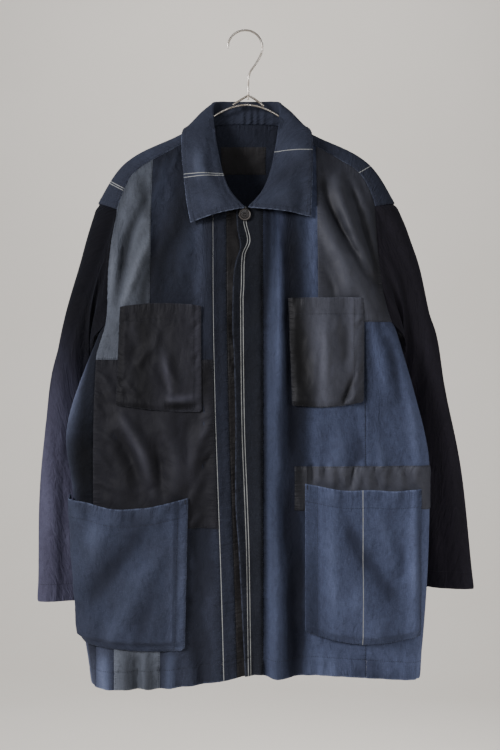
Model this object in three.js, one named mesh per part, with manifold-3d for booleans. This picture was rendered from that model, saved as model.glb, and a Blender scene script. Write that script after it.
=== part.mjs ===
// A patched work jacket hung on a wire hanger.
// Millimetres, +Z up, the front of the jacket faces -Y.
// The origin is where the inside of the hook bears on what carries it.
// Heights are given as a drop, the distance below the origin.
// Side -1 is the half at -X, side 1 the half at +X.
import * as THREE from "three";
import Module from "manifold-3d";

const wasm = await Module();
wasm.setup();

// Cloth and sewing
const cloth = 1.5; // base panels, sleeves and collar
const patchCloth = 1.0; // patches and pockets
const seamGap = 0.3; // between pieces sewn edge to edge
const layGap = 0.4; // between a patch and the panel under it
const pocketLift = 3.0; // outside of a pocket's sewn edge above the panel
const lapDepth = 3.4; // how far the under front lies behind the placket

// Heights
const hemDrop = 940;
const underarmDrop = 433;
const underarmDip = 16;
const neckSideDrop = 147; // where the front seam of the shoulder meets the neck
const neckFrontDrop = 268;
const neckHalf = 62;
const shoulderHalf = 219;
const sleeveGap = 1.9;

// Body section: a bowed front, a round front corner, a slanted flank, a round back corner, a flat back
const frontBow = THREE.MathUtils.degToRad(9);
const backRadius = 20;
const capDepth = 9; // half the depth of the shoulder over the hanger
const drapeLength = 60; // how far below the shoulder the body reaches its full depth
const halfWidth = {
  "-1": profile([150, 196], [360, 202], [425, 205], [500, 232], [560, 253], [605, 259],
    [670, 249], [800, 242], [895, 229], [945, 220]),
  "1": profile([150, 193], [312, 195], [359, 198], [405, 204], [465, 222], [530, 240],
    [617, 260], [685, 262], [790, 259], [890, 252], [945, 245]),
};
const frontDepth = profile([150, -52], [280, -66], [360, -80], [450, -92],
  [600, -107], [800, -114], [945, -116]);
const backDepth = profile([130, 12], [300, 17], [500, 22], [945, 24]);
const cornerRadius = profile([150, 22], [430, 22], [560, 20], [800, 26], [945, 32]);
const flankTurn = profile([150, 97], [330, 98], [433, 122], [540, 138], [700, 138], [840, 130], [945, 114]);

// Edges seen in the front view
const shoulderDrop = profile([60, 129.5], [96, 153], [155, 180], [181, 198], [198, 219], [219, 256]);
const shoulderSeam = profile([62, 147], [98, 170], [135, 191], [166, 213], [179, 236], [192, 277]);
const closing = profile([285, 0], [420, 1], [560, 4], [680, 8], [800, 12], [940, 16]);
const hemEdge = profile([-230, 946], [-188, 952], [-95, 946], [-32, 937], [-2, 930], [21, 928],
  [47, 934], [92, 928], [164, 935], [245, 941]);
const rightEdge = profile([276, 189], [313, 195], [358, 199], [433, 201], [487, 214], [724, 216], [945, 211]);
const leftEdgeTurn = profile([276, 45], [433, 60], [520, 86], [945, 86]);

// Rows shared by all panels, from the hem up to the underarm, then evenly up to each panel's top edge
const rowDrops = [hemDrop, 905, 870, 830, 790, 755, 724, 699, 668, 637, 600, 565, 525, 487, 460,
  underarmDrop];
const upperRows = 7;
const topRow = rowDrops.length - 1 + upperRows;

// Large folds of the fronts: x at the upper and lower end, drops of both ends, half width, height
const folds = [
  { top: 36, low: 44, from: 290, to: 990, half: 15, high: 7 },
  { top: 60, low: 74, from: 600, to: 990, half: 15, high: -6 },
  { top: 112, low: 110, from: 903, to: 1000, half: 22, high: 6 },
  { top: 175, low: 186, from: 903, to: 1000, half: 26, high: -6 },
  { top: 125, low: 178, from: 205, to: 420, half: 14, high: 5 },
  { top: 90, low: 150, from: 215, to: 430, half: 13, high: -4 },
  { top: -60, low: -70, from: 560, to: 1000, half: 18, high: -5 },
  { top: -205, low: -196, from: 903, to: 1000, half: 20, high: 6 },
  { top: -150, low: -145, from: 903, to: 1000, half: 24, high: -5 },
  { top: -110, low: -102, from: 903, to: 1000, half: 22, high: 5 },
  { top: -105, low: -180, from: 215, to: 400, half: 15, high: 5 },
];

// Sleeves: outer and inner edge of the flattened tube as [drop, x, y] from the armhole to the cuff,
// then the half depth along it
const sleeves = {
  "-1": {
    outer: [[256, 219, 0], [329, 239, -14], [392, 256, -24], [460, 271, -33], [516, 281, -39],
      [583, 290, -43], [690, 296, -47], [836, 299, -48]],
    inner: [[449, 190, -18], [476, 205, -6], [512, 213, 4], [560, 214, 13], [620, 213, 18],
      [690, 211, 22], [760, 211, 23], [836, 213, 23]],
  },
  "1": {
    outer: [[256, 219, 0], [300, 237, -9], [340, 250, -16], [409, 264, -26], [455, 275, -32],
      [531, 288, -38], [650, 308, -44], [818, 327, -46]],
    inner: [[449, 190, -18], [476, 206, -6], [512, 215, 4], [560, 219, 13], [620, 222, 19],
      [690, 227, 22], [760, 234, 23], [818, 240, 23]],
  },
};
const underarmRise = 2; // the sleeve's seam over the side panel's edge
const sleevePuff = 9; // how far the cloth stands out just below the underarm seam
const sleeveHalfDepth = [34, 31, 29, 27, 25, 24, 24, 24];

// Pockets: corners as [x, drop] in the front view, how far the outer edge wraps on round the side,
// how far the face stands off the panel, and the bow of the mouth and of the bottom
const pockets = {
  pocket_chest_right: {
    topOut: [-180, 412], topIn: [-64, 411], lowOut: [-185, 552], lowIn: [-62.5, 561],
    wrap: 0, stand: 5, sag: -4, belly: 3,
  },
  pocket_chest_left: {
    topOut: [168, 399], topIn: [59, 400], lowOut: [166, 547], lowIn: [64, 552],
    wrap: 0, stand: 5, sag: 0, belly: 5,
  },
  pocket_hip_right: {
    topOut: [-236, 678], topIn: [-81, 681], lowOut: [-222, 884], lowIn: [-85.5, 894],
    wrap: 22, stand: 14, sag: 16, belly: 7,
  },
  pocket_hip_left: {
    topOut: [247, 670], topIn: [82, 661], lowOut: [245, 877], lowIn: [82, 868],
    wrap: 0, stand: 14, sag: 5, belly: 15,
  },
};

// Collar: fold over the neck, and the free edge of the fall from the back to the point, as [x, y, drop]
const collarFold = [[0, 14, 101.5], [24, 13.5, 101.5], [40, 10, 102], [48, 1, 106], [48, -8, 126],
  [45.5, -18, 152], [41, -31, 182], [35, -45, 212], [25, -58, 239], [10, -68, 260], [2, -71, 268]];
const collarFall = {
  "-1": [[0, 28, 168], [40, 27, 166], [72, 23, 158], [91, 8, 144], [95, -17, 152], [95, -34, 176],
    [92, -48, 215], [87, -60, 255], [80, -71, 291]],
  "1": [[0, 28, 168], [40, 27, 166], [72, 23, 158], [91, 8, 144], [96, -17, 152], [97, -34, 176],
    [96, -47, 212], [95, -57, 245], [93, -67, 282]],
};
const collarFoldRadius = 3.5;
const collarSwell = 7;

// Button
const buttonDrop = 279;
const buttonX = -2.3;
const buttonRadius = 9;
const buttonThickness = 3.2;
const buttonHoleRadius = 1;
const buttonHoleSpread = 2.1;

// Blank patch inside the back of the neck
const neckPatch = { from: -38, to: 29, top: 170, low: 211 };

// Hanger
const wireRadius = 1.6;
const hookRadius = 24;
const hookCentre = -2;
const shankX = 2.7;
const bowTop = 109;
const shankLow = 101;
const hangerHalf = 178;
const braceSpread = 23;

// A smooth curve through a few points, given in rising order of the first value
function profile(...knots) {
  const last = knots.length - 1;
  const slope = (k) => {
    const [a, b] = [Math.max(k - 1, 0), Math.min(k + 1, last)];
    return (knots[b][1] - knots[a][1]) / (knots[b][0] - knots[a][0]);
  };
  return (at) => {
    if (at <= knots[0][0]) return knots[0][1];
    if (at >= knots[last][0]) return knots[last][1];
    let k = 0;
    while (knots[k + 1][0] < at) k += 1;
    const span = knots[k + 1][0] - knots[k][0];
    const t = (at - knots[k][0]) / span;
    const [u, v] = [1 - t, t * t * (3 - 2 * t)];
    return knots[k][1] * (1 - v) + knots[k + 1][1] * v
      + span * t * u * (slope(k) * u - slope(k + 1) * t);
  };
}

const lerp = THREE.MathUtils.lerp;
const clamp = THREE.MathUtils.clamp;
const smooth = THREE.MathUtils.smoothstep;
const signOf = (x) => (x < 0 ? -1 : 1);

// One level section of the body: sizes of its arcs and the girth at the end of each
function section(side, drop) {
  const half = halfWidth[side](drop);
  const corner = cornerRadius(drop);
  const front = frontDepth(drop);
  const back = backDepth(drop);
  const turn = THREE.MathUtils.degToRad(flankTurn(drop));
  const frontRadius = corner + (half - corner) / Math.sin(frontBow);
  const cornerX = half - corner;
  const cornerY = front + frontRadius - (frontRadius - corner) * Math.cos(frontBow);
  const endX = cornerX + corner * Math.sin(turn);
  const endY = cornerY - corner * Math.cos(turn);
  const flank = (back - backRadius * (1 + Math.cos(turn)) - endY) / Math.sin(turn);
  const flatHalf = endX + flank * Math.cos(turn) - backRadius * Math.sin(turn);
  const frontEnd = frontRadius * frontBow;
  const cornerEnd = frontEnd + corner * (turn - frontBow);
  const flankEnd = cornerEnd + flank;
  const backEnd = flankEnd + backRadius * (Math.PI - turn);
  return { half, corner, front, back, turn, frontRadius, cornerX, cornerY, endX, endY, flatHalf,
    frontEnd, cornerEnd, flankEnd, backEnd, girth: backEnd + flatHalf };
}

// Girth from the front centre to a place x of the front
function girthAt(cut, x) {
  const reach = cut.frontRadius * Math.sin(frontBow);
  if (x <= reach) return cut.frontRadius * Math.asin(x / cut.frontRadius);
  return cut.frontEnd + cut.corner * (Math.asin(Math.min(1, (x - cut.cornerX) / cut.corner)) - frontBow);
}

function sectionPoint(cut, s) {
  if (s < cut.frontEnd) {
    const t = s / cut.frontRadius;
    return [cut.frontRadius * Math.sin(t), cut.front + cut.frontRadius * (1 - Math.cos(t))];
  }
  if (s < cut.cornerEnd) {
    const t = frontBow + (s - cut.frontEnd) / cut.corner;
    return [cut.cornerX + cut.corner * Math.sin(t), cut.cornerY - cut.corner * Math.cos(t)];
  }
  if (s < cut.flankEnd) {
    const d = s - cut.cornerEnd;
    return [cut.endX + d * Math.cos(cut.turn), cut.endY + d * Math.sin(cut.turn)];
  }
  if (s < cut.backEnd) {
    const t = cut.turn + (s - cut.flankEnd) / backRadius;
    return [cut.flatHalf + backRadius * Math.sin(t), cut.back - backRadius * (1 + Math.cos(t))];
  }
  return [cut.girth - s, cut.back];
}

function foldHeight(x, drop) {
  let sum = 0;
  for (const fold of folds) {
    const t = (drop - fold.from) / (fold.to - fold.from);
    if (t <= 0 || t >= 1) continue;
    const off = (x - lerp(fold.top, fold.low, t)) / fold.half;
    sum += fold.high * Math.sin(Math.PI * t) ** 0.5 * Math.exp(-off * off);
  }
  return sum;
}

// The body's outer surface at a girth s on one side
function bodyPoint(side, s, drop) {
  const cut = section(side, drop);
  const [x, depth] = sectionPoint(cut, s);
  const below = Math.max(0, drop - shoulderDrop(x) - capDepth);
  const fall = 1 - Math.exp(-((below / drapeLength) ** 1.4));
  const cap = clamp(depth, -capDepth, capDepth);
  const ease = smooth(below, 0, 60) * (1 - smooth(s, cut.frontEnd, cut.cornerEnd));
  const y = cap + (depth - cap) * fall - foldHeight(side * x, drop) * ease;
  return new THREE.Vector3(side * x, y, -drop);
}

// The body's outward direction there, by small steps round and down
function bodyNormal(side, s, drop) {
  const round = bodyPoint(side, s + 1, drop).sub(bodyPoint(side, Math.max(s - 1, 0), drop));
  const up = bodyPoint(side, s, drop - 1).sub(bodyPoint(side, s, drop + 1));
  return round.cross(up).normalize().multiplyScalar(side);
}

function frontPoint(x, drop) {
  const side = signOf(x);
  return bodyPoint(side, girthAt(section(side, drop), Math.abs(x)), drop);
}

// Top edges of the fronts and of the back
function frontTop(x) {
  const out = Math.abs(x);
  if (out >= neckHalf) return shoulderSeam(out);
  return neckSideDrop + (neckFrontDrop - neckSideDrop) * Math.sqrt(1 - (out / neckHalf) ** 2);
}
const backNeck = profile([0, 137], [30, 137.5], [48, 140], [62, 147]);
function backTop(x) {
  const out = Math.abs(x);
  return out >= neckHalf ? shoulderSeam(out) : backNeck(out);
}

function rowDrop(row, x, top) {
  const last = rowDrops.length - 1;
  if (row > last) return lerp(underarmDrop, top(x), (row - last) / upperRows);
  const drop = rowDrops[row];
  return drop + (hemEdge(x) - hemDrop) * Math.max(0, (drop - 830) / (hemDrop - 830));
}

// Columns give side and girth for a drop
const columnAtX = (place) => (drop) => {
  const x = place(drop);
  const side = signOf(x);
  return [side, girthAt(section(side, drop), Math.abs(x))];
};
const rightSide = columnAtX((drop) => -rightEdge(drop));
const leftSide = (drop) => {
  const cut = section(1, drop);
  return [1, cut.frontEnd + cut.corner * (THREE.MathUtils.degToRad(leftEdgeTurn(drop)) - frontBow)];
};
const frontEdgeOf = { "-1": rightSide, "1": leftSide };
const backEdgeOf = (side) => (drop) => {
  const cut = section(side, drop);
  return [side, (cut.flankEnd + cut.backEnd) / 2];
};
const between = (one, two, share) => (drop) => {
  const [side, a] = one(drop);
  return [side, lerp(a, two(drop)[1], share)];
};

// A point of the grid: the row depends on x through the panel's top edge, so it is found by repeating
function gridPoint(column, row, top, shift = () => 0) {
  let x = 150;
  let drop;
  for (let pass = 0; pass < 8; pass += 1) {
    drop = rowDrop(row, x, top);
    x = bodyPoint(...column(drop), drop).x;
  }
  const point = bodyPoint(...column(drop), drop);
  point.y += shift(point.x, drop);
  return [point, bodyNormal(...column(drop), drop)];
}

// Normals of a grid of points, by the run of the grid lines through each point
function gridNormals(points, round = false) {
  const [columns, rows] = [points.length, points[0].length];
  return points.map((line, i) => line.map((point, j) => {
    const before = points[round ? (i + columns - 1) % columns : Math.max(i - 1, 0)][j];
    const after = points[round ? (i + 1) % columns : Math.min(i + 1, columns - 1)][j];
    const along = after.clone().sub(before);
    const up = line[Math.min(j + 1, rows - 1)].clone().sub(line[Math.max(j - 1, 0)]);
    return along.cross(up).normalize();
  }));
}

// Closed wall between two grids of points
function wallGeometry(outside, inside, round = false) {
  const [columns, rows] = [outside.length, outside[0].length];
  const place = [];
  for (const p of [outside, inside].flat(2)) place.push(p.x, p.y, p.z);
  const at = (layer, i, j) => layer * columns * rows + (i % columns) * rows + j;
  const index = [];
  const quad = (a, b, c, d) => index.push(a, b, c, a, c, d);
  const steps = round ? columns : columns - 1;
  for (let i = 0; i < steps; i += 1) {
    for (let j = 0; j < rows - 1; j += 1) {
      quad(at(0, i, j), at(0, i + 1, j), at(0, i + 1, j + 1), at(0, i, j + 1));
      quad(at(1, i, j), at(1, i, j + 1), at(1, i + 1, j + 1), at(1, i + 1, j));
    }
    const end = rows - 1;
    quad(at(0, i, 0), at(1, i, 0), at(1, i + 1, 0), at(0, i + 1, 0));
    quad(at(0, i, end), at(0, i + 1, end), at(1, i + 1, end), at(1, i, end));
  }
  if (!round) {
    const end = columns - 1;
    for (let j = 0; j < rows - 1; j += 1) {
      quad(at(0, 0, j), at(0, 0, j + 1), at(1, 0, j + 1), at(1, 0, j));
      quad(at(0, end, j), at(1, end, j), at(1, end, j + 1), at(0, end, j + 1));
    }
  }
  const geometry = new THREE.BufferGeometry();
  geometry.setAttribute("position", new THREE.Float32BufferAttribute(place, 3));
  geometry.setIndex(index);
  return geometry;
}

// A wall whose outer face lies a given height over the grid; its edges are drawn in by a gap
function panel(grid, block, over, thick, gap) {
  const [i0, i1, j0, j1] = block;
  const moved = [];
  for (let i = i0; i <= i1; i += 1) {
    const line = [];
    for (let j = j0; j <= j1; j += 1) {
      const p = grid.points[i][j].clone();
      const draw = (k, l) => {
        const way = grid.points[k][l].clone().sub(grid.points[i][j]);
        p.addScaledVector(way.normalize(), gap);
      };
      if (i === i0) draw(i + 1, j);
      if (i === i1) draw(i - 1, j);
      if (j === j0 && j0 > 0) draw(i, j + 1);
      if (j === j1) draw(i, j - 1);
      line.push(p);
    }
    moved.push(line);
  }
  const raised = (high) => moved.map((line, i) => line.map((p, j) =>
    p.clone().addScaledVector(grid.normals[i0 + i][j0 + j], high)));
  return wallGeometry(raised(over), raised(over - thick));
}

function makeGrid(columns, rows, pointOf, flip) {
  const spots = columns.map((column, i) => Array.from({ length: rows }, (_, j) => pointOf(column, j, i)));
  if (flip) spots.reverse();
  return { points: spots.map((line) => line.map(([point]) => point)),
    normals: spots.map((line) => line.map(([, normal]) => normal)) };
}

// Where the back reaches a place x at the shoulder seam
function backFoot(side, x) {
  const drop = shoulderSeam(x);
  const cut = section(side, drop);
  let [low, high] = [cut.flankEnd, cut.girth];
  for (let k = 0; k < 30; k += 1) {
    const middle = (low + high) / 2;
    if (sectionPoint(cut, middle)[0] > x) low = middle;
    else high = middle;
  }
  return bodyPoint(side, low, drop);
}

// A whole grid as one wall, drawn in on all four edges
function panelAll(grid, columns, rows) {
  const padded = { points: grid.points.map((line) => line.map((p) => p.clone())), normals: grid.normals };
  for (const line of padded.points) {
    line[0].addScaledVector(line[1].clone().sub(line[0]).normalize(), 2 * seamGap);
    line[rows].addScaledVector(line[rows - 1].clone().sub(line[rows]).normalize(), 2 * seamGap);
  }
  return panel(padded, [0, columns, 0, rows], 0, cloth, seamGap / 2);
}

// Points evenly spaced along a run of points
function spaced(points, count) {
  const curve = new THREE.CurvePath();
  for (let k = 1; k < points.length; k += 1) {
    if (points[k].distanceTo(points[k - 1]) > 0.01) curve.add(new THREE.LineCurve3(points[k - 1], points[k]));
  }
  return Array.from({ length: count + 1 }, (_, i) => curve.getPointAt(i / count));
}

// Joins equal points of a closed geometry so that it can be cut
function weld(geometry) {
  const source = geometry.getAttribute("position");
  const seen = new Map();
  const place = [];
  const number = [];
  for (let k = 0; k < source.count; k += 1) {
    const p = [source.getX(k), source.getY(k), source.getZ(k)];
    const key = p.map((value) => Math.round(value * 1e4)).join();
    if (!seen.has(key)) {
      seen.set(key, place.length / 3);
      place.push(...p);
    }
    number.push(seen.get(key));
  }
  const old = geometry.getIndex().array;
  const index = [];
  for (let k = 0; k < old.length; k += 3) {
    const [a, b, c] = [number[old[k]], number[old[k + 1]], number[old[k + 2]]];
    if (a !== b && b !== c && c !== a) index.push(a, b, c);
  }
  const welded = new THREE.BufferGeometry();
  welded.setAttribute("position", new THREE.Float32BufferAttribute(place, 3));
  welded.setIndex(index);
  return welded;
}

// A round wire along points given as [x, drop], with closed ends
function wire(path, radius, steps) {
  const curve = new THREE.CatmullRomCurve3(path.map(([x, drop]) => new THREE.Vector3(x, 0, -drop)));
  const around = 8;
  const points = curve.getSpacedPoints(steps);
  const place = [];
  const index = [];
  points.forEach((p, k) => {
    const run = points[Math.min(k + 1, steps)].clone().sub(points[Math.max(k - 1, 0)]).normalize();
    const flat = new THREE.Vector3(-run.z, 0, run.x);
    for (let a = 0; a < around; a += 1) {
      const turn = 2 * Math.PI * a / around;
      const spot = p.clone().addScaledVector(flat, radius * Math.cos(turn));
      place.push(spot.x, spot.y + radius * Math.sin(turn), spot.z);
    }
  });
  for (let k = 0; k < steps; k += 1) {
    for (let a = 0; a < around; a += 1) {
      const [b, c] = [k * around + a, k * around + (a + 1) % around];
      index.push(b, b + around, c, c, b + around, c + around);
    }
  }
  const end = steps * around;
  for (let a = 1; a < around - 1; a += 1) {
    index.push(0, a, a + 1, end, end + a + 1, end + a);
  }
  const geometry = new THREE.BufferGeometry();
  geometry.setAttribute("position", new THREE.Float32BufferAttribute(place, 3));
  geometry.setIndex(index);
  const a = new THREE.Vector3();
  let volume = 0;
  for (let k = 0; k < index.length; k += 3) {
    const [p, q, r] = [0, 1, 2].map((n) => new THREE.Vector3().fromArray(place, 3 * index[k + n]));
    volume += a.copy(p).dot(q.cross(r));
  }
  if (volume < 0) geometry.setIndex(index.reverse());
  return geometry;
}

// To and from solids that can be cut and joined
function toSolid(geometry) {
  return new wasm.Manifold(new wasm.Mesh({
    numProp: 3,
    vertProperties: new Float32Array(geometry.getAttribute("position").array),
    triVerts: new Uint32Array(geometry.getIndex().array),
  }));
}
function toGeometry(solid) {
  const mesh = solid.getMesh();
  const geometry = new THREE.BufferGeometry();
  geometry.setAttribute("position", new THREE.Float32BufferAttribute(Array.from(mesh.vertProperties), 3));
  geometry.setIndex(Array.from(mesh.triVerts));
  return geometry;
}

const group = new THREE.Group();
const materials = {
  blue: { color: 0x3a4560, roughness: 0.9, metalness: 0 },
  grey: { color: 0x4a4e52, roughness: 0.9, metalness: 0 },
  nylon: { color: 0x3b3d42, roughness: 0.5, metalness: 0 },
  navy: { color: 0x1e1f2b, roughness: 0.85, metalness: 0 },
  button: { color: 0x1d1817, roughness: 0.35, metalness: 0 },
  steel: { color: 0x8d8a84, roughness: 0.35, metalness: 0.9 },
};
function add(name, geometry, material) {
  const mesh = new THREE.Mesh(geometry, new THREE.MeshStandardMaterial(materials[material]));
  mesh.name = name;
  group.add(mesh);
}

// Under front at -X: edge strip, band and base panel in one grid; it steps back under the placket
const stepBack = (x, drop) => lapDepth * smooth(x - closing(drop), -36, -21);
const rightPlaces = [12, 0, -10, -20, -28.5, -38, -48.5];
const rightColumns = [
  ...rightPlaces.map((x) => columnAtX((drop) => x + closing(drop))),
  ...[-63, -84, -103, -121, -137, -160, -180].map((x) => columnAtX(() => x)),
  rightSide,
];
const rightGrid = makeGrid(rightColumns, topRow + 1,
  (column, row) => gridPoint(column, row, frontTop, stepBack), true);
// Reversed, the columns count from the side towards the middle
add("front_right", panel(rightGrid, [0, 8, 0, topRow], 0, cloth, seamGap / 2), "blue");
add("band_right", panel(rightGrid, [8, 10, 0, topRow], 0, cloth, seamGap / 2), "blue");
add("edge_strip_right", panel(rightGrid, [10, 14, 0, topRow], 0, cloth, seamGap / 2), "nylon");
const over = layGap + patchCloth;
add("patch_grey_chest", panel(rightGrid, [0, 3, 13, topRow], over, patchCloth, 0.6), "grey");
add("patch_nylon_waist", panel(rightGrid, [0, 8, 6, 13], over, patchCloth, 0.6), "nylon");
add("patch_grey_hem", panel(rightGrid, [1, 4, 0, 3], over, patchCloth, 0.6), "grey");

// Over front at +X: placket, inner and outer base panel
const leftColumns = [
  ...[-17.5, -8].map((x) => columnAtX((drop) => x + closing(drop))),
  ...[4, 14, 24, 31, 38, 46, 56, 68, 85, 102, 119, 136, 153, 169].map((x) => columnAtX(() => x)),
];
const outerSeam = leftColumns[leftColumns.length - 1];
for (let k = 1; k <= 6; k += 1) leftColumns.push(between(outerSeam, leftSide, k / 6));
const leftGrid = makeGrid(leftColumns, topRow + 1, (column, row) => gridPoint(column, row, frontTop), false);
add("placket", panel(leftGrid, [0, 4, 0, topRow], 0, cloth, seamGap / 2), "blue");
add("front_left_inner", panel(leftGrid, [4, 15, 0, topRow], 0, cloth, seamGap / 2), "blue");
add("front_left_outer", panel(leftGrid, [15, 21, 0, topRow], 0, cloth, seamGap / 2), "blue");
add("patch_nylon_chest", panel(leftGrid, [11, 21, 15, topRow], over, patchCloth, 0.6), "nylon");
add("patch_nylon_strip", panel(leftGrid, [9, 21, 7, 9], over, patchCloth, 0.6), "nylon");

// Side panels, from the front edge round the flank to the back, dipped at the underarm
const sideGrids = {};
for (const side of [-1, 1]) {
  const steps = 9;
  const columns = Array.from({ length: steps + 1 }, (_, i) =>
    between(frontEdgeOf[side], backEdgeOf(side), i / steps));
  const dip = (row, i) => underarmDip * Math.sin(Math.PI * i / steps) * [0.25, 0.6, 1][row - 13];
  sideGrids[side] = makeGrid(columns, rowDrops.length, (column, row, i) => {
    const spot = gridPoint(column, row, frontTop);
    if (row < 13) return spot;
    const drop = -spot[0].z + dip(row, i);
    return [bodyPoint(...column(drop), drop), bodyNormal(...column(drop), drop)];
  }, side < 0);
  const name = side < 0 ? "side_right" : "side_left";
  add(name, panel(sideGrids[side], [0, steps, 0, rowDrops.length - 1], 0, cloth, seamGap / 2), "blue");
}

// Back, from one back corner to the other
const backSteps = 14;
const backColumns = Array.from({ length: backSteps + 1 }, (_, i) => (drop) => {
  const share = 1 - 2 * i / backSteps;
  const side = share < 0 ? -1 : 1;
  const cut = section(side, drop);
  const edge = cut.girth - backEdgeOf(side)(drop)[1];
  return [side, cut.girth - Math.abs(share) * edge];
});
const backGrid = makeGrid(backColumns, topRow + 1, (column, row) => gridPoint(column, row, backTop), false);
add("back", panel(backGrid, [0, backSteps, 0, topRow], 0, cloth, seamGap / 2), "blue");

// Blank patch on the inner face of the back
const patchColumns = [0, 0.25, 0.5, 0.75, 1].map((share) => lerp(neckPatch.to, neckPatch.from, share));
const innerFace = (x, drop, deep) => {
  const side = signOf(x);
  const point = bodyPoint(side, section(side, drop).girth - Math.abs(x), drop);
  point.y -= cloth + layGap + deep;
  return point;
};
const patchFace = (deep) => patchColumns.map((x) => [0, 0.5, 1].map((share) =>
  innerFace(x, lerp(neckPatch.low, neckPatch.top, share), deep)));
add("neck_patch", wallGeometry(patchFace(0), patchFace(patchCloth)), "nylon");

// Shoulder strips: arches from the front seam over the hanger to the back seam
const archAngle = (v) => (1 - Math.abs(v)) * Math.PI / 2;
const shoulderEnds = {};
for (const side of [-1, 1]) {
  const frontEnd = side < 0 ? rightGrid.points[0][topRow] : leftGrid.points[21][topRow];
  const backEnd = backGrid.points[side < 0 ? backSteps : 0][topRow];
  const steps = 12;
  const arch = (share, v) => {
    const end = v < 0 ? frontEnd : backEnd;
    const x = lerp(neckHalf, Math.abs(end.x), share);
    const seam = v < 0 ? frontPoint(side * x, shoulderSeam(x)) : backFoot(side, x);
    const foot = share === 1 ? end : seam;
    const crown = lerp(neckHalf, shoulderHalf, share);
    const lift = Math.sin(archAngle(v));
    return new THREE.Vector3(side * lerp(x, crown, lift), foot.y * Math.cos(archAngle(v)),
      lerp(foot.z, -shoulderDrop(crown), lift));
  };
  const turns = [-1, -0.75, -0.5, -0.25, 0, 0.25, 0.5, 0.75, 1];
  const points = Array.from({ length: steps + 1 }, (_, i) =>
    turns.map((v) => arch(1 - (1 - i / steps) ** 1.5, v)));
  const last = turns.map((v) => arch(1, v));
  shoulderEnds[side] = { front: last.slice(0, 5), back: last.slice(4) };
  if (side < 0) points.reverse();
  const grid = { points, normals: gridNormals(points) };
  add(side < 0 ? "shoulder_right" : "shoulder_left", panelAll(grid, steps, turns.length - 1), "blue");
}

// Sleeves: a tube from the armhole to the cuff; the armhole runs from the shoulder tip down the front
// edge, under the arm and up the back edge
for (const side of [-1, 1]) {
  const name = side < 0 ? "sleeve_right" : "sleeve_left";
  const under = rowDrops.length - 1;
  const sideLine = sideGrids[side].points.map((line) => line[under]);
  if (side < 0) sideLine.reverse();
  const frontLine = (side < 0 ? rightGrid.points[0] : leftGrid.points[21]).slice(under).reverse();
  const backLine = backGrid.points[side < 0 ? backSteps : 0].slice(under);
  const middle = sideLine[4].clone().lerp(sideLine[5], 0.5);
  const down = [...shoulderEnds[side].front].reverse().concat(frontLine, sideLine.slice(0, 5), [middle]);
  const up = [middle, ...sideLine.slice(5), ...backLine, ...[...shoulderEnds[side].back].reverse()];
  const halfTurns = 12;
  const loop = [...spaced(down, halfTurns), ...spaced(up, halfTurns).slice(1, -1)];
  const cut = sleeves[side];
  const rowsAlong = 14;
  const edgeAt = (line, share) => {
    const stops = line.map(([drop, x, y]) => new THREE.Vector3(side * x, y, -drop));
    return new THREE.CatmullRomCurve3(stops).getPoint(share);
  };
  const depthAt = profile(...sleeveHalfDepth.map((half, k) => [k / (sleeveHalfDepth.length - 1), half]));
  const ringPoint = (turn, share) => {
    const [outer, inner] = [edgeAt(cut.outer, share), edgeAt(cut.inner, share)];
    const across = outer.clone().sub(inner).multiplyScalar(0.5);
    const run = new THREE.Vector3(side * (1 - share), 0, -0.6 - share).normalize();
    const deep = run.clone().cross(across).normalize().multiplyScalar(depthAt(share));
    if (deep.y > 0) deep.negate();
    return inner.add(across).addScaledVector(across, Math.cos(turn)).addScaledVector(deep, Math.sin(turn));
  };
  const points = loop.map((start, k) => {
    const turn = Math.PI * k / halfTurns;
    const off = start.clone().sub(ringPoint(turn, 0));
    off.x += side * sleeveGap;
    off.z += lerp(underarmRise, -sleeveGap, (1 + Math.cos(turn)) / 2);
    return Array.from({ length: rowsAlong + 1 }, (_, j) => {
      const share = j / rowsAlong;
      const spot = ringPoint(turn, share).addScaledVector(off, 1 - smooth(share, 0, 0.55));
      const puff = smooth(share, 0, 0.1) * (1 - smooth(share, 0.15, 0.5));
      spot.x += side * sleevePuff * puff * (1 - Math.cos(turn)) / 2;
      return spot;
    });
  });
  if (side > 0) points.reverse();
  const normals = gridNormals(points, true);
  const inside = points.map((line, i) =>
    line.map((p, j) => p.clone().addScaledVector(normals[i][j], -cloth)));
  inside.forEach((line, i) => line[0].setX(side * Math.max(side * line[0].x, side * points[i][0].x)));
  add(name, wallGeometry(points, inside, true), "navy");
}

// Collar: stand, rolled fold and fall in one wall
function neckLoop(share) {
  const half = neckHalf - 1.6;
  if (share < 0.3) {
    const x = lerp(0, half - 4, share / 0.3);
    const point = bodyPoint(1, section(1, backTop(x)).girth - x, backTop(x));
    return point.setZ(point.z + 0.9);
  }
  if (share < 0.5) {
    const v = lerp(1, -1, (share - 0.3) / 0.2);
    const foot = v < 0 ? frontPoint(half, neckSideDrop).y : backFoot(1, half).y;
    const lift = Math.sin(archAngle(v));
    return new THREE.Vector3(half - 1.5 * Math.abs(v) * (v > 0), foot * Math.cos(archAngle(v)),
      -lerp(neckSideDrop - 1, shoulderDrop(neckHalf) - 4, lift));
  }
  const angle = lerp(0, 1.47, (share - 0.5) / 0.5);
  const drop = neckSideDrop + (neckFrontDrop - neckSideDrop - 2.6) * Math.sin(angle);
  const point = frontPoint(half * Math.cos(angle), drop);
  return point.setY(point.y + 0.6);
}
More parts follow.
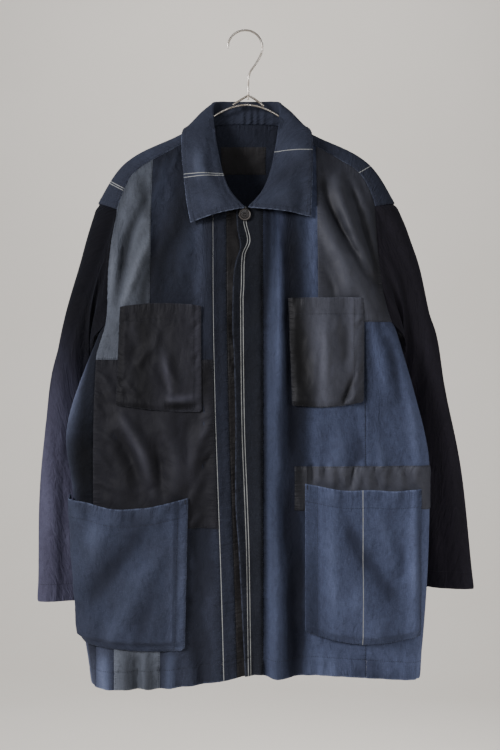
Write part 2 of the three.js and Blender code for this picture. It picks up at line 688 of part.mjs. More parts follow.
function collarLine(side, share) {
  const at = (line) => new THREE.CatmullRomCurve3(line.map(([x, y, drop]) => new THREE.Vector3(x, y, -drop)));
  const low = neckLoop(share);
  const crest = at(collarFold).getPoint(share);
  const edge = at(collarFall[side]).getPoint(share);
  const up = crest.clone().sub(low.clone().add(edge).multiplyScalar(0.5)).normalize();
  const out = edge.clone().sub(low);
  out.addScaledVector(up, -out.dot(up)).normalize();
  const roll = (angle) => crest.clone().addScaledVector(up, collarFoldRadius * (Math.cos(angle) - 1))
    .addScaledVector(out, collarFoldRadius * Math.sin(angle));
  const [inner, outer] = [roll(-Math.PI / 2), roll(Math.PI / 2)];
  const foldAt = (place) => at(collarFold).getPoint(clamp(place, 0, 1));
  const run = foldAt(share + 0.02).sub(foldAt(share - 0.02));
  const swell = run.cross(edge.clone().sub(outer)).normalize().multiplyScalar(collarSwell);
  if (swell.dot(edge.clone().sub(low).setZ(edge.z - low.z + 40)) < 0) swell.negate();
  const line = [0, 0.35, 0.7].map((t) => low.clone().lerp(inner, t));
  for (const turn of [-90, -45, 0, 45, 90]) line.push(roll(THREE.MathUtils.degToRad(turn)));
  for (const t of [0.2, 0.4, 0.6, 0.8, 1]) {
    line.push(outer.clone().lerp(edge, t).addScaledVector(swell, Math.sin(Math.PI * t)));
  }
  for (const p of line) p.x *= side;
  return line;
}
const collarSteps = 17;
const collarPoints = [];
for (let k = -collarSteps; k <= collarSteps; k += 1) {
  collarPoints.push(collarLine(k < 0 ? -1 : 1, Math.abs(k) / collarSteps));
}
const collarNormals = gridNormals(collarPoints);
const collarInside = collarPoints.map((line, i) =>
  line.map((p, j) => p.clone().addScaledVector(collarNormals[i][j], -cloth)));
add("collar", wallGeometry(collarPoints, collarInside), "blue");

// Pockets: open bags sewn to the fronts along the sides and the bottom
for (const [name, cut] of Object.entries(pockets)) {
  const side = signOf(cut.topIn[0]);
  const [columns, rows] = [11, 9];
  const face = (a, b) => {
    const edge = (low, high, k) => lerp(low[k], high[k], b);
    const drop = lerp(edge(cut.lowIn, cut.topIn, 1), edge(cut.lowOut, cut.topOut, 1), a)
      + Math.sin(Math.PI * a) * lerp(cut.belly, cut.sag, b);
    const level = section(side, drop);
    const s = lerp(girthAt(level, Math.abs(edge(cut.lowIn, cut.topIn, 0))),
      girthAt(level, Math.abs(edge(cut.lowOut, cut.topOut, 0))) + cut.wrap, a);
    const wide = 1 - Math.abs(2 * a - 1) ** 5;
    const tall = 1 - (1 - b) ** 4;
    return [bodyPoint(side, s, drop), bodyNormal(side, s, drop), pocketLift + cut.stand * wide * tall];
  };
  const spot = (i, j, inward) => {
    const [point, normal, high] = face(i / columns, j / rows);
    return point.addScaledVector(normal, high - inward);
  };
  const grid = (inward) => Array.from({ length: columns + 1 }, (_, i) =>
    Array.from({ length: rows + 1 }, (__, j) => spot(i, j, inward)));
  const [outside, inside] = [grid(0), grid(patchCloth)];
  if (side < 0) {
    outside.reverse();
    inside.reverse();
  }
  add(name, wallGeometry(outside, inside), name.includes("chest") ? "nylon" : "blue");
}

// Button: a turned disc with a raised rim and four holes
const buttonProfile = [[0, 0], [buttonRadius - 0.8, 0], [buttonRadius, 0.9], [buttonRadius, 2.2],
  [buttonRadius - 0.8, buttonThickness], [buttonRadius - 2.2, buttonThickness],
  [buttonRadius - 3.4, 2.2], [0, 2.2]];
const disc = new THREE.LatheGeometry(buttonProfile.map(([r, h]) => new THREE.Vector2(r, h)), 28);
let button = toSolid(weld(disc));
for (let k = 0; k < 4; k += 1) {
  const angle = Math.PI * (0.25 + k / 2);
  const hole = new THREE.CylinderGeometry(buttonHoleRadius, buttonHoleRadius, 8, 10);
  hole.translate(buttonHoleSpread * Math.cos(angle), 1, buttonHoleSpread * Math.sin(angle));
  button = button.subtract(toSolid(weld(hole)));
}
const buttonSeat = frontPoint(buttonX, buttonDrop);
const buttonGeometry = toGeometry(button);
buttonGeometry.rotateX(Math.PI);
buttonGeometry.rotateX(-0.13);
buttonGeometry.translate(buttonSeat.x, buttonSeat.y - 0.9, buttonSeat.z);
add("button", buttonGeometry, "button");

// Hanger: the hook with its shank and two braces, then the bow
const bowHalf = [[0, bowTop], [24, 113.5], [47, 125], [68, 140.5], [96, 157.4],
  [125, 170.5], [155, 184.5], [hangerHalf, 200]];
const hookPath = [];
for (let turn = 182; turn >= -20; turn -= 20) {
  const angle = THREE.MathUtils.degToRad(turn);
  const reach = hookRadius + wireRadius;
  hookPath.push([hookCentre + reach * Math.cos(angle), hookRadius - reach * Math.sin(angle)]);
}
hookPath.push([14, 48], [7, 58], [3.6, 66], [shankX, 74], [shankX, 88], [shankX, shankLow]);
let hook = toSolid(wire(hookPath, wireRadius, 40));
for (const side of [-1, 1]) {
  const footX = shankX + side * braceSpread;
  const foot = [footX, profile(...bowHalf)(Math.abs(footX)) - 2 * wireRadius - seamGap];
  const brace = [[shankX, shankLow - 6], [shankX + side * 8, shankLow - 1.5], foot];
  hook = hook.add(toSolid(wire(brace, wireRadius, 8)));
}
add("hanger_hook", toGeometry(hook), "steel");
const bowPath = [...bowHalf.slice(1).reverse().map(([x, drop]) => [-x, drop]), ...bowHalf];
add("hanger_bow", wire(bowPath, wireRadius, 36), "steel");

export default group;
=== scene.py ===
import math

import bpy
import numpy as np
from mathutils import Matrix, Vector


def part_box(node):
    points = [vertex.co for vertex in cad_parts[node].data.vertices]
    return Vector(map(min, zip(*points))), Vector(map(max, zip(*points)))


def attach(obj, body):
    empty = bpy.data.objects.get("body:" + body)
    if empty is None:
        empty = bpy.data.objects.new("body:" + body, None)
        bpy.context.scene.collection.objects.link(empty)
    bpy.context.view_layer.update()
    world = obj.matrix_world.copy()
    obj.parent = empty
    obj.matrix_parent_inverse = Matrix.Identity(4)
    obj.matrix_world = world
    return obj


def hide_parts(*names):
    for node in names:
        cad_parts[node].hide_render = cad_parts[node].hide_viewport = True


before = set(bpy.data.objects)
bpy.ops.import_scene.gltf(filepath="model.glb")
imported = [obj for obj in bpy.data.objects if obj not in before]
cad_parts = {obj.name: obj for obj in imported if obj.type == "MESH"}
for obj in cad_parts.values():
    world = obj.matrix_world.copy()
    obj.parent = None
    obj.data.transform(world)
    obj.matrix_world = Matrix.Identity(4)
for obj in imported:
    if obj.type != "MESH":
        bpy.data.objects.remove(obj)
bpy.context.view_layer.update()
mm = 0.001  # sizes below are millimetres, meshes are metres
far = 99.0  # a distance at which an edge or a stripe no longer shows
sides = (-1, 1)  # side -1 is the half at -X, the wearer's right
sideName = {-1: "right", 1: "left"}
print("frame loaded:", len(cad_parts), "nodes")


# small tools

def lerp(a, b, t):
    return a + (b - a) * t


def ease(value, start, stop):
    t = np.clip((value - start) / (stop - start), 0, 1)
    return t * t * (3 - 2 * t)


def bell(value, reach):  # 1 at 0, soft, almost gone at twice the reach
    return np.exp(-(value / reach) ** 2)


def unit(vectors):
    return vectors / np.maximum(np.linalg.norm(vectors, axis=-1, keepdims=True), 1e-9)


def runLength(points):  # length along a run of points
    return np.concatenate([[0], np.cumsum(np.linalg.norm(np.diff(points, axis=0), axis=1))])


def alongRun(at, run, values):  # points or normals at given lengths along a run
    return np.stack([np.interp(at, run, values[:, n]) for n in range(3)], -1)


def curve(*knots):  # smooth curve through a few points in rising order
    at, value = np.array(knots, float).T
    count = np.arange(len(at))
    before, after = np.maximum(count - 1, 0), np.minimum(count + 1, len(at) - 1)
    slope = (value[after] - value[before]) / (at[after] - at[before])

    def read(place):
        place = np.clip(place, at[0], at[-1])
        k = np.clip(np.searchsorted(at, place) - 1, 0, len(at) - 2)
        span = at[k + 1] - at[k]
        t = (place - at[k]) / span
        v = t * t * (3 - 2 * t)
        bend = slope[k] * (1 - t) - slope[k + 1] * t
        return value[k] * (1 - v) + value[k + 1] * v + span * t * (1 - t) * bend
    return read


def softLine(stops, share):  # smooth line in space through a few stops, share from 0 to 1
    stops = np.array(stops, float)
    ends = np.vstack([2 * stops[0] - stops[1], stops, 2 * stops[-1] - stops[-2]])
    place = np.clip(np.asarray(share, float), 0, 1) * (len(stops) - 1)
    k = np.minimum(place.astype(int), len(stops) - 2)
    t = (place - k)[..., None]
    p0, p1, p2, p3 = (ends[k + n] for n in range(4))
    g0, g1, g2 = (np.sqrt(np.linalg.norm(b - a, axis=-1, keepdims=True)) for a, b in ((p0, p1), (p1, p2), (p2, p3)))
    t1 = ((p1 - p0) / g0 - (p2 - p0) / (g0 + g1) + (p2 - p1) / g1) * g1
    t2 = ((p2 - p1) / g1 - (p3 - p1) / (g1 + g2) + (p3 - p2) / g2) * g1
    return p1 + t * (t1 + t * (3 * (p2 - p1) - 2 * t1 - t2 + t * (2 * (p1 - p2) + t1 + t2)))


def ripple(a, b, size, seed):  # gentle unevenness with no direction
    waves, total = 6, 0
    rng = np.random.default_rng(seed)
    for wave in range(waves):
        angle, phase = rng.uniform(0, 2 * math.pi, 2)
        turn = 2 * math.pi / (size * rng.uniform(0.7, 1.6))
        total = total + np.sin((a * math.cos(angle) + b * math.sin(angle)) * turn + phase)
    return total / math.sqrt(waves)


def unevenness(a, b, rows):  # height, size, seed and stretch of each ripple
    return sum(height * ripple(a, stretch * b, size, seed) for height, size, seed, stretch in rows)


def creaseHeight(a, b, creases):  # soft ridges and troughs: half width, height, then the points they run through
    a, b = np.broadcast_arrays(a, b)
    total = np.zeros(a.shape)
    for half, high, *stops in creases:
        path = softLine(stops, np.linspace(0, 1, 4 * len(stops)))
        low, top = path.min(0) - 2.6 * half, path.max(0) + 2.6 * half  # no effect beyond this box
        near = (a > low[0]) & (a < top[0]) & (b > low[1]) & (b < top[1])
        if not near.any():
            continue
        spot = np.stack([a[near], b[near]], -1)
        steps, start = np.linalg.norm(np.diff(path, axis=0), axis=1), runLength(path)
        best, along = np.full(len(spot), np.inf), np.zeros(len(spot))
        for k, length in enumerate(steps):
            way = (path[k + 1] - path[k]) / length
            t = np.clip((spot - path[k]) @ way, 0, length)
            gap = np.linalg.norm(spot - path[k] - t[:, None] * way, axis=1)
            along = np.where(gap < best, (start[k] + t) / start[-1], along)
            best = np.minimum(gap, best)
        total[near] += high * bell(best, half) * np.sin(math.pi * along) ** 0.6
    return total


def withPaintedShade(toneAndShade, a, b, streaks):  # painted shade and light along soft streaks: half width, strength, then their points
    return toneAndShade * np.exp(creaseHeight(a, b, streaks))


# form of the body: heights are drops below the hook

body = {
    "halfRight": curve((150, 196), (360, 202), (425, 205), (500, 232), (560, 253), (605, 259),
                       (670, 249), (800, 242), (895, 229), (945, 220)),
    "halfLeft": curve((150, 193), (312, 195), (359, 198), (405, 204), (465, 222), (530, 240),
                      (617, 260), (685, 262), (790, 259), (890, 252), (945, 245)),
    "front": curve((150, -52), (280, -66), (360, -80), (450, -92), (600, -107), (800, -114), (945, -116)),
    "back": curve((130, 12), (300, 17), (500, 22), (945, 24)),
    "corner": curve((150, 22), (430, 22), (560, 20), (800, 26), (945, 32)),
    "turn": curve((150, 97), (330, 98), (433, 122), (540, 138), (700, 138), (840, 130), (945, 114)),
    "shoulder": curve((60, 129.5), (96, 153), (155, 180), (181, 198), (198, 219), (219, 256)),
    "seam": curve((62, 147), (98, 170), (135, 191), (166, 213), (179, 236), (192, 277)),
    "closing": curve((285, 0), (420, 1), (560, 4), (680, 8), (800, 12), (940, 16)),
    "hem": curve((-230, 946), (-188, 952), (-95, 946), (-32, 937), (-2, 930), (21, 928), (47, 934),
                 (92, 928), (164, 935), (245, 941)),
    "rightEdge": curve((276, 189), (313, 195), (358, 199), (433, 201), (487, 214), (724, 216), (945, 211)),
    "leftTurn": curve((276, 45), (433, 60), (520, 86), (945, 86)),
    "backNeck": curve((0, 137), (30, 137.5), (48, 140), (62, 147)),
    "bow": math.radians(9), "backRadius": 20, "capDepth": 9, "drape": 60,
    "underarm": 433, "underarmDip": 16, "neckSide": 147, "neckFront": 268, "neckHalf": 62,
    "shoulderHalf": 219, "lap": 3.4,
    "lapFrom": -36, "lapTo": -21, "tuck": 1.5, "drapeRate": 1.4,
    # seams of the fronts: from the closing at -X, from the middle at +X
    "bandSeam": -48.5, "stripSeam": -28.5, "placketSeam": 24, "outerSeam": 169,
}
closing = body["closing"]

# large folds of the fronts: half width, height, then x and drop along the fold
frontFolds = [
    (15, 7, (36, 270), (40, 640), (44, 1010)), (15, -6, (60, 585), (67, 795), (74, 1005)),
    (22, 5, (112, 890), (110, 1010)), (26, -5, (175, 890), (186, 1010)), (14, 5, (125, 195), (150, 310), (178, 430)),
    (14, 4, (96, 240), (124, 319), (148, 400)), (18, -5, (-60, 545), (-65, 780), (-70, 1015)),
    (20, 5, (-205, 890), (-196, 1010)), (24, -4, (-150, 890), (-145, 1010)), (22, 4, (-110, 890), (-102, 1010)),
    (15, 5, (-105, 205), (-142, 305), (-180, 410)),
]
frontCreases = [
    # gathers under the shoulder seam at -X, then the drape from there to the underarm
    (5, 1.6, (-100, 172), (-110, 216)), (5, 1.8, (-116, 182), (-125, 222)), (6, 2, (-130, 190), (-143, 230)),
    (6, 1.8, (-146, 200), (-158, 240)), (6, 1.8, (-160, 212), (-169, 256)),
    (8, 3, (-112, 200), (-150, 292), (-180, 392)), (13, -3, (-90, 208), (-125, 307), (-158, 402)),
    (16, 2.6, (-67, 285), (-88, 343), (-107, 410)), (10, 3, (-198, 262), (-193, 335), (-190, 420)),
    (7, -2.4, (-176, 280), (-178, 350), (-186, 420)), (6, 3, (-134, 302), (-152, 344), (-163, 375), (-178, 412)),
    (6, -2.4, (-140, 250), (-166, 298), (-175, 347), (-184, 392)),
    # nylon at the waist
    (9, 5, (-184, 566), (-156, 594), (-143, 627), (-134, 668)), (9, -4, (-190, 590), (-168, 618), (-150, 672)),
    (11, 3.6, (-116, 560), (-105, 606), (-97, 643), (-100, 690)), (8, -3.4, (-131, 590), (-122, 640), (-117, 690)),
    (9, 3, (-46, 556), (-64, 600), (-78, 668)), (6, 2.2, (-56, 640), (-82, 694)), (7, -2.4, (-84, 570), (-82, 640)),
    (5, 2, (-218, 582), (-178, 610)), (5, 2, (-218, 612), (-186, 650)), (5, 1.6, (-216, 655), (-180, 672)),
    (3, 1.2, (-50, 556), (-63, 572)), (3, -1, (-50, 567), (-63, 583)), (3, 1.2, (-50, 580), (-65, 600)),
    (3, 1.2, (-50, 612), (-63, 628)), (3, -1, (-50, 622), (-63, 640)), (3, 1.2, (-214, 500), (-196, 520)),
    (3, 1.2, (-214, 530), (-198, 548)), (3, -1, (-215, 540), (-198, 558)), (3, 1.2, (-216, 552), (-200, 567)),
    (5, 1.6, (-60, 700), (-80, 724)), (6, 1.6, (-206, 505), (-182, 545)), (5, -1.6, (-212, 520), (-190, 560)),
    # hem at -X
    (7, 3, (-169, 895), (-169, 985)), (7, -3, (-154, 900), (-153, 985)), (7, 3, (-138, 890), (-138, 985)),
    (7, -3, (-121, 900), (-121, 985)), (7, 2.4, (-106, 890), (-106, 985)), (7, -2, (-92, 905), (-92, 985)),
    (8, 2, (-78, 895), (-77, 985)), (9, -2.4, (-58, 880), (-57, 985)),
    # blue panel at +X with its long ridge, and the line where the placket is sewn down
    (4.5, -2.6, (25, 250), (25.5, 620), (26, 1000)), (10, -4, (54, 270), (60, 440), (66, 640)),
    (10, 2.6, (84, 270), (87, 360), (88, 470)), (7, 2.6, (38, 262), (37, 330), (40, 440)),
    (6, -2.2, (47, 262), (46, 340)), (8, 2.2, (74, 262), (76, 330)), (9, 1.8, (44, 430), (41, 520), (46, 640)),
    (8, 3, (40, 780), (43, 985)), (9, -3.6, (63, 800), (69, 990)), (9, 2.4, (88, 880), (92, 990)),
    (10, 1.6, (96, 720), (90, 820), (94, 900)), (7, -1.8, (48, 640), (52, 720), (50, 800)),
    # nylon chest at +X
    (7, -5, (110, 215), (121, 263), (134, 291), (149, 319), (164, 347), (184, 384)),
    (6, -4, (144, 215), (162, 262), (171, 294), (178, 319), (185, 350), (194, 400)),
    (7, 3.6, (129, 212), (140, 263), (150, 291), (161, 323), (178, 366)),
    (10, 5, (104, 262), (124, 319), (140, 350), (152, 400)), (6, -2.4, (108, 350), (120, 376), (128, 420)),
    (5, 1.8, (158, 214), (172, 268)), (6, 2, (156, 366), (180, 428)), (5, 1.6, (108, 180), (118, 222)),
    (5, 1.6, (92, 168), (100, 212)),
    # blue middle at +X
    (14, 2.6, (126, 545), (130, 600), (126, 660)), (9, -2.2, (155, 555), (159, 600), (158, 650)),
    (12, 2.2, (226, 500), (238, 580), (243, 650)), (9, -2, (196, 440), (210, 500), (220, 560)),
    (9, 1.8, (178, 570), (190, 610), (186, 655)), (7, 1.4, (100, 560), (104, 600), (98, 640)),
    # gathers under the seam of the nylon strip
    (4, 2.2, (84, 628), (86, 672)), (4, -1.6, (92, 630), (93, 664)), (4, 2, (101, 630), (100, 664)),
    (4.5, 2.4, (118, 628), (121, 676)), (4, 2, (140, 630), (139, 668)), (4, -1, (150, 630), (146, 672)),
    (5, 2.8, (163, 628), (152, 680)), (5, 2.8, (163, 628), (175, 680)), (4, -2, (182, 630), (186, 668)),
    (4, 2, (192, 630), (195, 670)), (4.5, 2.4, (213, 628), (222, 676)), (4, 2, (236, 630), (240, 664)),
]
# painted shade and light along the folds of the fronts: half width, strength, then x and drop
frontPaintedShade = [
    # deep fold beside the long ridge at +X, and the ridge
    (17, -1.2, (63, 180), (63, 400), (65, 570), (62, 710), (67, 825), (67, 1060)),
    (7, -0.45, (33, 430), (34, 700), (36, 960)),
    (6, 1.4, (50, 190), (48, 262), (47, 330), (47, 420), (47, 500), (46, 560)),
    (7, -1.7, (31, 190), (31, 262), (29.5, 345), (27, 400), (25, 450)),
    (3.6, -1.5, (25.5, 380), (25.5, 620), (26, 1000)),
    (10, -0.9, (76, 260), (77, 420), (79, 640), (79, 800), (79, 960)), (8, -0.7, (67, 200), (67, 380), (67, 540)),
    (7, 0.8, (92, 220), (95, 320), (96, 380), (98, 440)),
    # grey chest, then the blue beside it
    (7, 0.4, (-132, 300), (-152, 344), (-163, 375), (-186, 434)),
    (6, -0.7, (-138, 235), (-166, 298), (-175, 347), (-190, 412)),
    (6, 0.4, (-168, 225), (-183, 312), (-193, 368), (-198, 430)), (7, -1.2, (-133, 335), (-145, 382), (-150, 440)),
    (8, -0.8, (-156, 215), (-142, 285)), (11, 1.1, (-65, 190), (-66, 300), (-66, 470)),
    (10, 0.8, (-104, 190), (-120, 280), (-130, 345)), (8, -0.6, (-92, 240), (-100, 298), (-118, 335), (-128, 420)),
    # nylon at the waist
    (7, 0.9, (-180, 548), (-163, 597), (-142, 628), (-133, 685)), (7, -0.6, (-186, 610), (-168, 642), (-160, 690)),
    (16, 0.6, (-86, 560), (-86, 690)), (7, 0.7, (-58, 548), (-60, 612)), (7, -0.9, (-56, 490), (-60, 540)),
    # lower front and hem at -X
    (14, 0.5, (-53, 700), (-55, 1010)), (22, 0.7, (-100, 860), (-98, 1010)), (14, 1.35, (-203, 860), (-200, 1020)),
    (6, -0.7, (-168, 880), (-168, 1010)), (5, -0.9, (-137, 880), (-137, 1010)), (10, -0.2, (-130, 870), (-130, 1000)),
    # lower front and hem at +X
    (12, -0.3, (68, 740), (68, 825), (68, 910)), (26, -0.2, (44, 850), (44, 905), (46, 990)),
    (20, 0.24, (115, 915), (200, 915), (330, 925)),
    # nylon chest and the turn of the side at +X
    (9, -0.9, (188, 225), (192, 330), (196, 450)), (6, -0.5, (121, 250), (149, 319), (176, 372)),
    (10, 0.4, (108, 270), (124, 319), (140, 350), (146, 410)), (5, -0.8, (168, 430), (168, 560)),
    (8, 0.6, (172, 420), (185, 474), (202, 545)), (6, -0.5, (204, 450), (210, 502), (220, 550)),
    (8, 0.25, (222, 510), (233, 570), (238, 660)),
]
# height of the creases, then how far below the shoulder each kind is in full
frontRelief = {"creases": 1.6, "foldStart": 60, "creaseStart": 14, "rippleStart": 30}
frontRipples = [(0.9, 44, 3, 1), (0.35, 19, 8, 1), (0.12, 9, 21, 0.6)]


def section(side, drop):  # one level section: sizes of its arcs and the girth at the end of each
    half = np.where(side < 0, body["halfRight"](drop), body["halfLeft"](drop))
    corner, front, back = body["corner"](drop), body["front"](drop), body["back"](drop)
    turn, bow, backRadius = np.radians(body["turn"](drop)), body["bow"], body["backRadius"]
    cut = {"corner": corner, "front": front, "back": back, "turn": turn}
    cut["frontRadius"] = corner + (half - corner) / math.sin(bow)
    cut["cornerX"] = half - corner
    cut["cornerY"] = front + cut["frontRadius"] - (cut["frontRadius"] - corner) * math.cos(bow)
    cut["endX"] = cut["cornerX"] + corner * np.sin(turn)
    cut["endY"] = cut["cornerY"] - corner * np.cos(turn)
    flank = (back - backRadius * (1 + np.cos(turn)) - cut["endY"]) / np.sin(turn)
    cut["flatHalf"] = cut["endX"] + flank * np.cos(turn) - backRadius * np.sin(turn)
    cut["frontEnd"] = cut["frontRadius"] * bow
    cut["cornerEnd"] = cut["frontEnd"] + corner * (turn - bow)
    cut["flankEnd"] = cut["cornerEnd"] + flank
    cut["backEnd"] = cut["flankEnd"] + backRadius * (math.pi - turn)
    cut["girth"] = cut["backEnd"] + cut["flatHalf"]
    return cut


def girthAt(cut, x):  # girth from the front centre to a place x of the front
    onFront = cut["frontRadius"] * np.arcsin(np.minimum(1, x / cut["frontRadius"]))
    turned = np.arcsin(np.clip((x - cut["cornerX"]) / cut["corner"], 0, 1)) - body["bow"]
    beforeCorner = x <= cut["frontRadius"] * math.sin(body["bow"])
    return np.where(beforeCorner, onFront, cut["frontEnd"] + cut["corner"] * turned)


def sectionPoint(cut, s):
    onFront = s / cut["frontRadius"]
    onCorner = body["bow"] + (s - cut["frontEnd"]) / cut["corner"]
    onFlank = s - cut["cornerEnd"]
    onBack = cut["turn"] + (s - cut["flankEnd"]) / body["backRadius"]
    zones = [s < cut["frontEnd"], s < cut["cornerEnd"], s < cut["flankEnd"], s < cut["backEnd"]]
    x = np.select(zones, [
        cut["frontRadius"] * np.sin(onFront), cut["cornerX"] + cut["corner"] * np.sin(onCorner),
        cut["endX"] + onFlank * np.cos(cut["turn"]), cut["flatHalf"] + body["backRadius"] * np.sin(onBack),
    ], cut["girth"] - s)
    y = np.select(zones, [
        cut["front"] + cut["frontRadius"] * (1 - np.cos(onFront)), cut["cornerY"] - cut["corner"] * np.cos(onCorner),
        cut["endY"] + onFlank * np.sin(cut["turn"]), cut["back"] - body["backRadius"] * (1 + np.cos(onBack)),
    ], cut["back"])
    return x, y


def hung(girth, drop):  # signed girth from the front centre, less than 0 at -X
    side, s = np.where(girth < 0, -1.0, 1.0), np.abs(girth)
    cut = section(side, drop)
    x, depth = sectionPoint(cut, s)
    below = np.maximum(0, drop - body["shoulder"](x) - body["capDepth"])
    fall = 1 - np.exp(-(below / body["drape"]) ** body["drapeRate"])
    cap = np.clip(depth, -body["capDepth"], body["capDepth"])
    hold = 1 - ease(s, cut["frontEnd"], cut["cornerEnd"])  # folds of the front die out round its corner
    return side * x, cap + (depth - cap) * fall, below, hold


def bodyPoint(girth, drop):  # the calm form
    x, y = hung(girth, drop)[:2]
    return np.stack(np.broadcast_arrays(x, y, -drop), -1)


def creasedPoint(girth, drop):  # the form with the folds of the fronts, and their height
    x, y, below, hold = hung(girth, drop)
    high = creaseHeight(x, drop, frontFolds) * ease(below, 0, frontRelief["foldStart"])
    fine = creaseHeight(x, drop, frontCreases) * ease(below, 0, frontRelief["creaseStart"])
    uneven = unevenness(x, drop, frontRipples) * ease(below, 0, frontRelief["rippleStart"])
    high = (high + frontRelief["creases"] * fine + uneven) * hold
    return np.stack(np.broadcast_arrays(x, y - high, -drop), -1), high


def frontTop(x):
    out, deep = np.abs(x), body["neckFront"] - body["neckSide"]
    neck = body["neckSide"] + deep * np.sqrt(np.maximum(0, 1 - (out / body["neckHalf"]) ** 2))
    return np.where(out >= body["neckHalf"], body["seam"](out), neck)


def tuckedTop(x):  # the fronts reach a little under the shoulder strips
    return frontTop(x) - body["tuck"]


def backTop(x):
    out = np.abs(x)
    return np.where(out >= body["neckHalf"], body["seam"](out), body["backNeck"](out))


def atX(place, line=None):  # edge of a panel at a place x of the front, or that far from a line down the front
    def read(drop):
        x = place + (line(drop) if line else 0) + 0 * drop
        side = np.where(x < 0, -1.0, 1.0)
        return side * girthAt(section(side, drop), np.abs(x))
    return read


def rightSide(drop):
    return -girthAt(section(-1, drop), body["rightEdge"](drop))


def leftSide(drop):
    cut = section(1, drop)
    return cut["frontEnd"] + cut["corner"] * (np.radians(body["leftTurn"](drop)) - body["bow"])


frontEdge = {-1: rightSide, 1: leftSide}


def backEdge(side, drop):
    cut = section(side, drop)
    return side * (cut["flankEnd"] + cut["backEnd"]) / 2


def sideGirth(side, share, drop):  # from the front edge of a side panel to its back edge
    return lerp(frontEdge[side](drop), backEdge(side, drop), share)


# grids of cloth

edgeForm = {
    "rollReach": 1.1, "sewnDepth": 0.5, "sewnReach": 1.2,
    "close": [0.5, 1.3, 2.5], "beside": [-1.3, 0, 1.3], "clear": 0.35,  # rows of points at edges and sewn lines
}
frontShade = {"usual": (0.36, 0.6), "from": 300, "to": 850}  # painted light: the fronts are paler towards the hem
hemDepth, cuffDepth = 26, 25
hemForm = {
    "pucker": [("low", 2.4, 21, 20, 6), ("low", 1.1, 8, 7, hemDepth)], "sewn": [("low", hemDepth)], "worn": ["low"],
}


def spread(length, pitch, low=None, top=None):  # places from 0 to 1, close at both ends and beside a sewn line
    even = np.linspace(0, 1, max(3, round(length / pitch)) + 1)
    sewn = [low + step for step in edgeForm["beside"]] if low else []
    sewn += [length - top + step for step in edgeForm["beside"]] if top else []
    close = edgeForm["close"]
    fixed = np.array([0] + close + sewn + [length - gap for gap in close] + [length]) / length
    apart = np.abs(even[:, None] - fixed[None, :]).min(1)
    clear = edgeForm["clear"] * pitch / length  # even places too close to a fixed one are left out
    return np.sort(np.concatenate([fixed, even[apart > clear]]))


def grid(wide, long, pitch, low=None):  # shares across and along a piece
    return spread(wide, pitch)[:, None], spread(long, pitch, low)[None, :]


def settle(place, low, top, u, v, start=350):  # drop of each point: the edges depend on x, and x on the drop
    drop = lerp(900, start, v) + 0 * u
    for turn in range(8):  # it settles in a few turns
        x = place(drop)[..., 0]
        lowDrop, topDrop = (edge(x) if callable(edge) else edge + 0 * x for edge in (low, top))
        drop = lerp(lowDrop, topDrop, v)
    return drop


def gridNormals(points, closed=False):
    across = np.roll(points, -1, 0) - np.roll(points, 1, 0) if closed else np.gradient(points, axis=0)
    return unit(np.cross(across, np.gradient(points, axis=1)))


def gridRuns(points):  # length from the left, right, low and top edge
    across = np.cumsum(np.linalg.norm(np.diff(points, axis=0), axis=2), 0)
    along = np.cumsum(np.linalg.norm(np.diff(points, axis=1), axis=2), 1)
    left = np.pad(across, ((1, 0), (0, 0)))
    low = np.pad(along, ((0, 0), (1, 0)))
    return {"left": left, "right": left[-1:] - left, "low": low, "top": low[:, -1:] - low}


def gatherRow(along, amount, wave, seed):  # waves along a seam: their pace drifts and their height varies
    drift = 0.35 * np.sin(along / (2.3 * wave) + seed) + 0.2 * np.sin(along / (0.9 * wave) + 2 * seed)
    swell = (0.8 + 0.4 * np.sin(along / (0.61 * wave) + 1.7 * seed)) * (0.85 + 0.25 * np.sin(along / (4.3 * wave)))
    return amount * swell * (0.5 + 0.5 * np.sin(2 * math.pi * (along / wave + drift)))


def dress(points, lift=0.0, roll=0.7, pucker=(), sewn=(), worn=(), closed=False, rise=0.0, around=None, toneAndShade=0.5):
    # lifts a grid and rolls its edges in; pucker: (edge, height, wave, reach, distance in) of each row of gathers,
    # sewn: (edge, distance in) of each line pulled down by a thread, worn: edges that are rubbed pale
    normals, runs = gridNormals(points, closed), gridRuns(points)
    fromEnds = np.minimum(runs["low"], runs["top"])
    fromSides = np.full(fromEnds.shape, far) if closed else np.minimum(runs["left"], runs["right"])
    high = lift - roll * bell(np.minimum(fromEnds, fromSides), edgeForm["rollReach"])
    for seed, (name, amount, wave, reach, inward) in enumerate(pucker):
        along = runs["low" if name in ("left", "right") else "left"]
        if around is not None and name == "low":
            along = around  # so that layers gather together
        high = high + gatherRow(along, amount, wave, seed) * bell(runs[name] - inward, reach)
    for name, inward in sewn:
        high = high - edgeForm["sewnDepth"] * bell(runs[name] - inward, edgeForm["sewnReach"])
    points = points + normals * np.broadcast_to(high, points.shape[:2])[..., None]
    edge = np.min([runs[name] for name in worn], axis=0) if worn else np.full(fromEnds.shape, far)
    marks = {"edge": edge, "ends": fromEnds, "sides": fromSides}
    marks.update({key: 0 * fromEnds + value for key, value in (("rise", rise), ("toneAndShade", toneAndShade))})
    return {"points": points, "normals": gridNormals(points, closed), "runs": runs, "closed": closed, "stripes": [],
            "marks": marks}


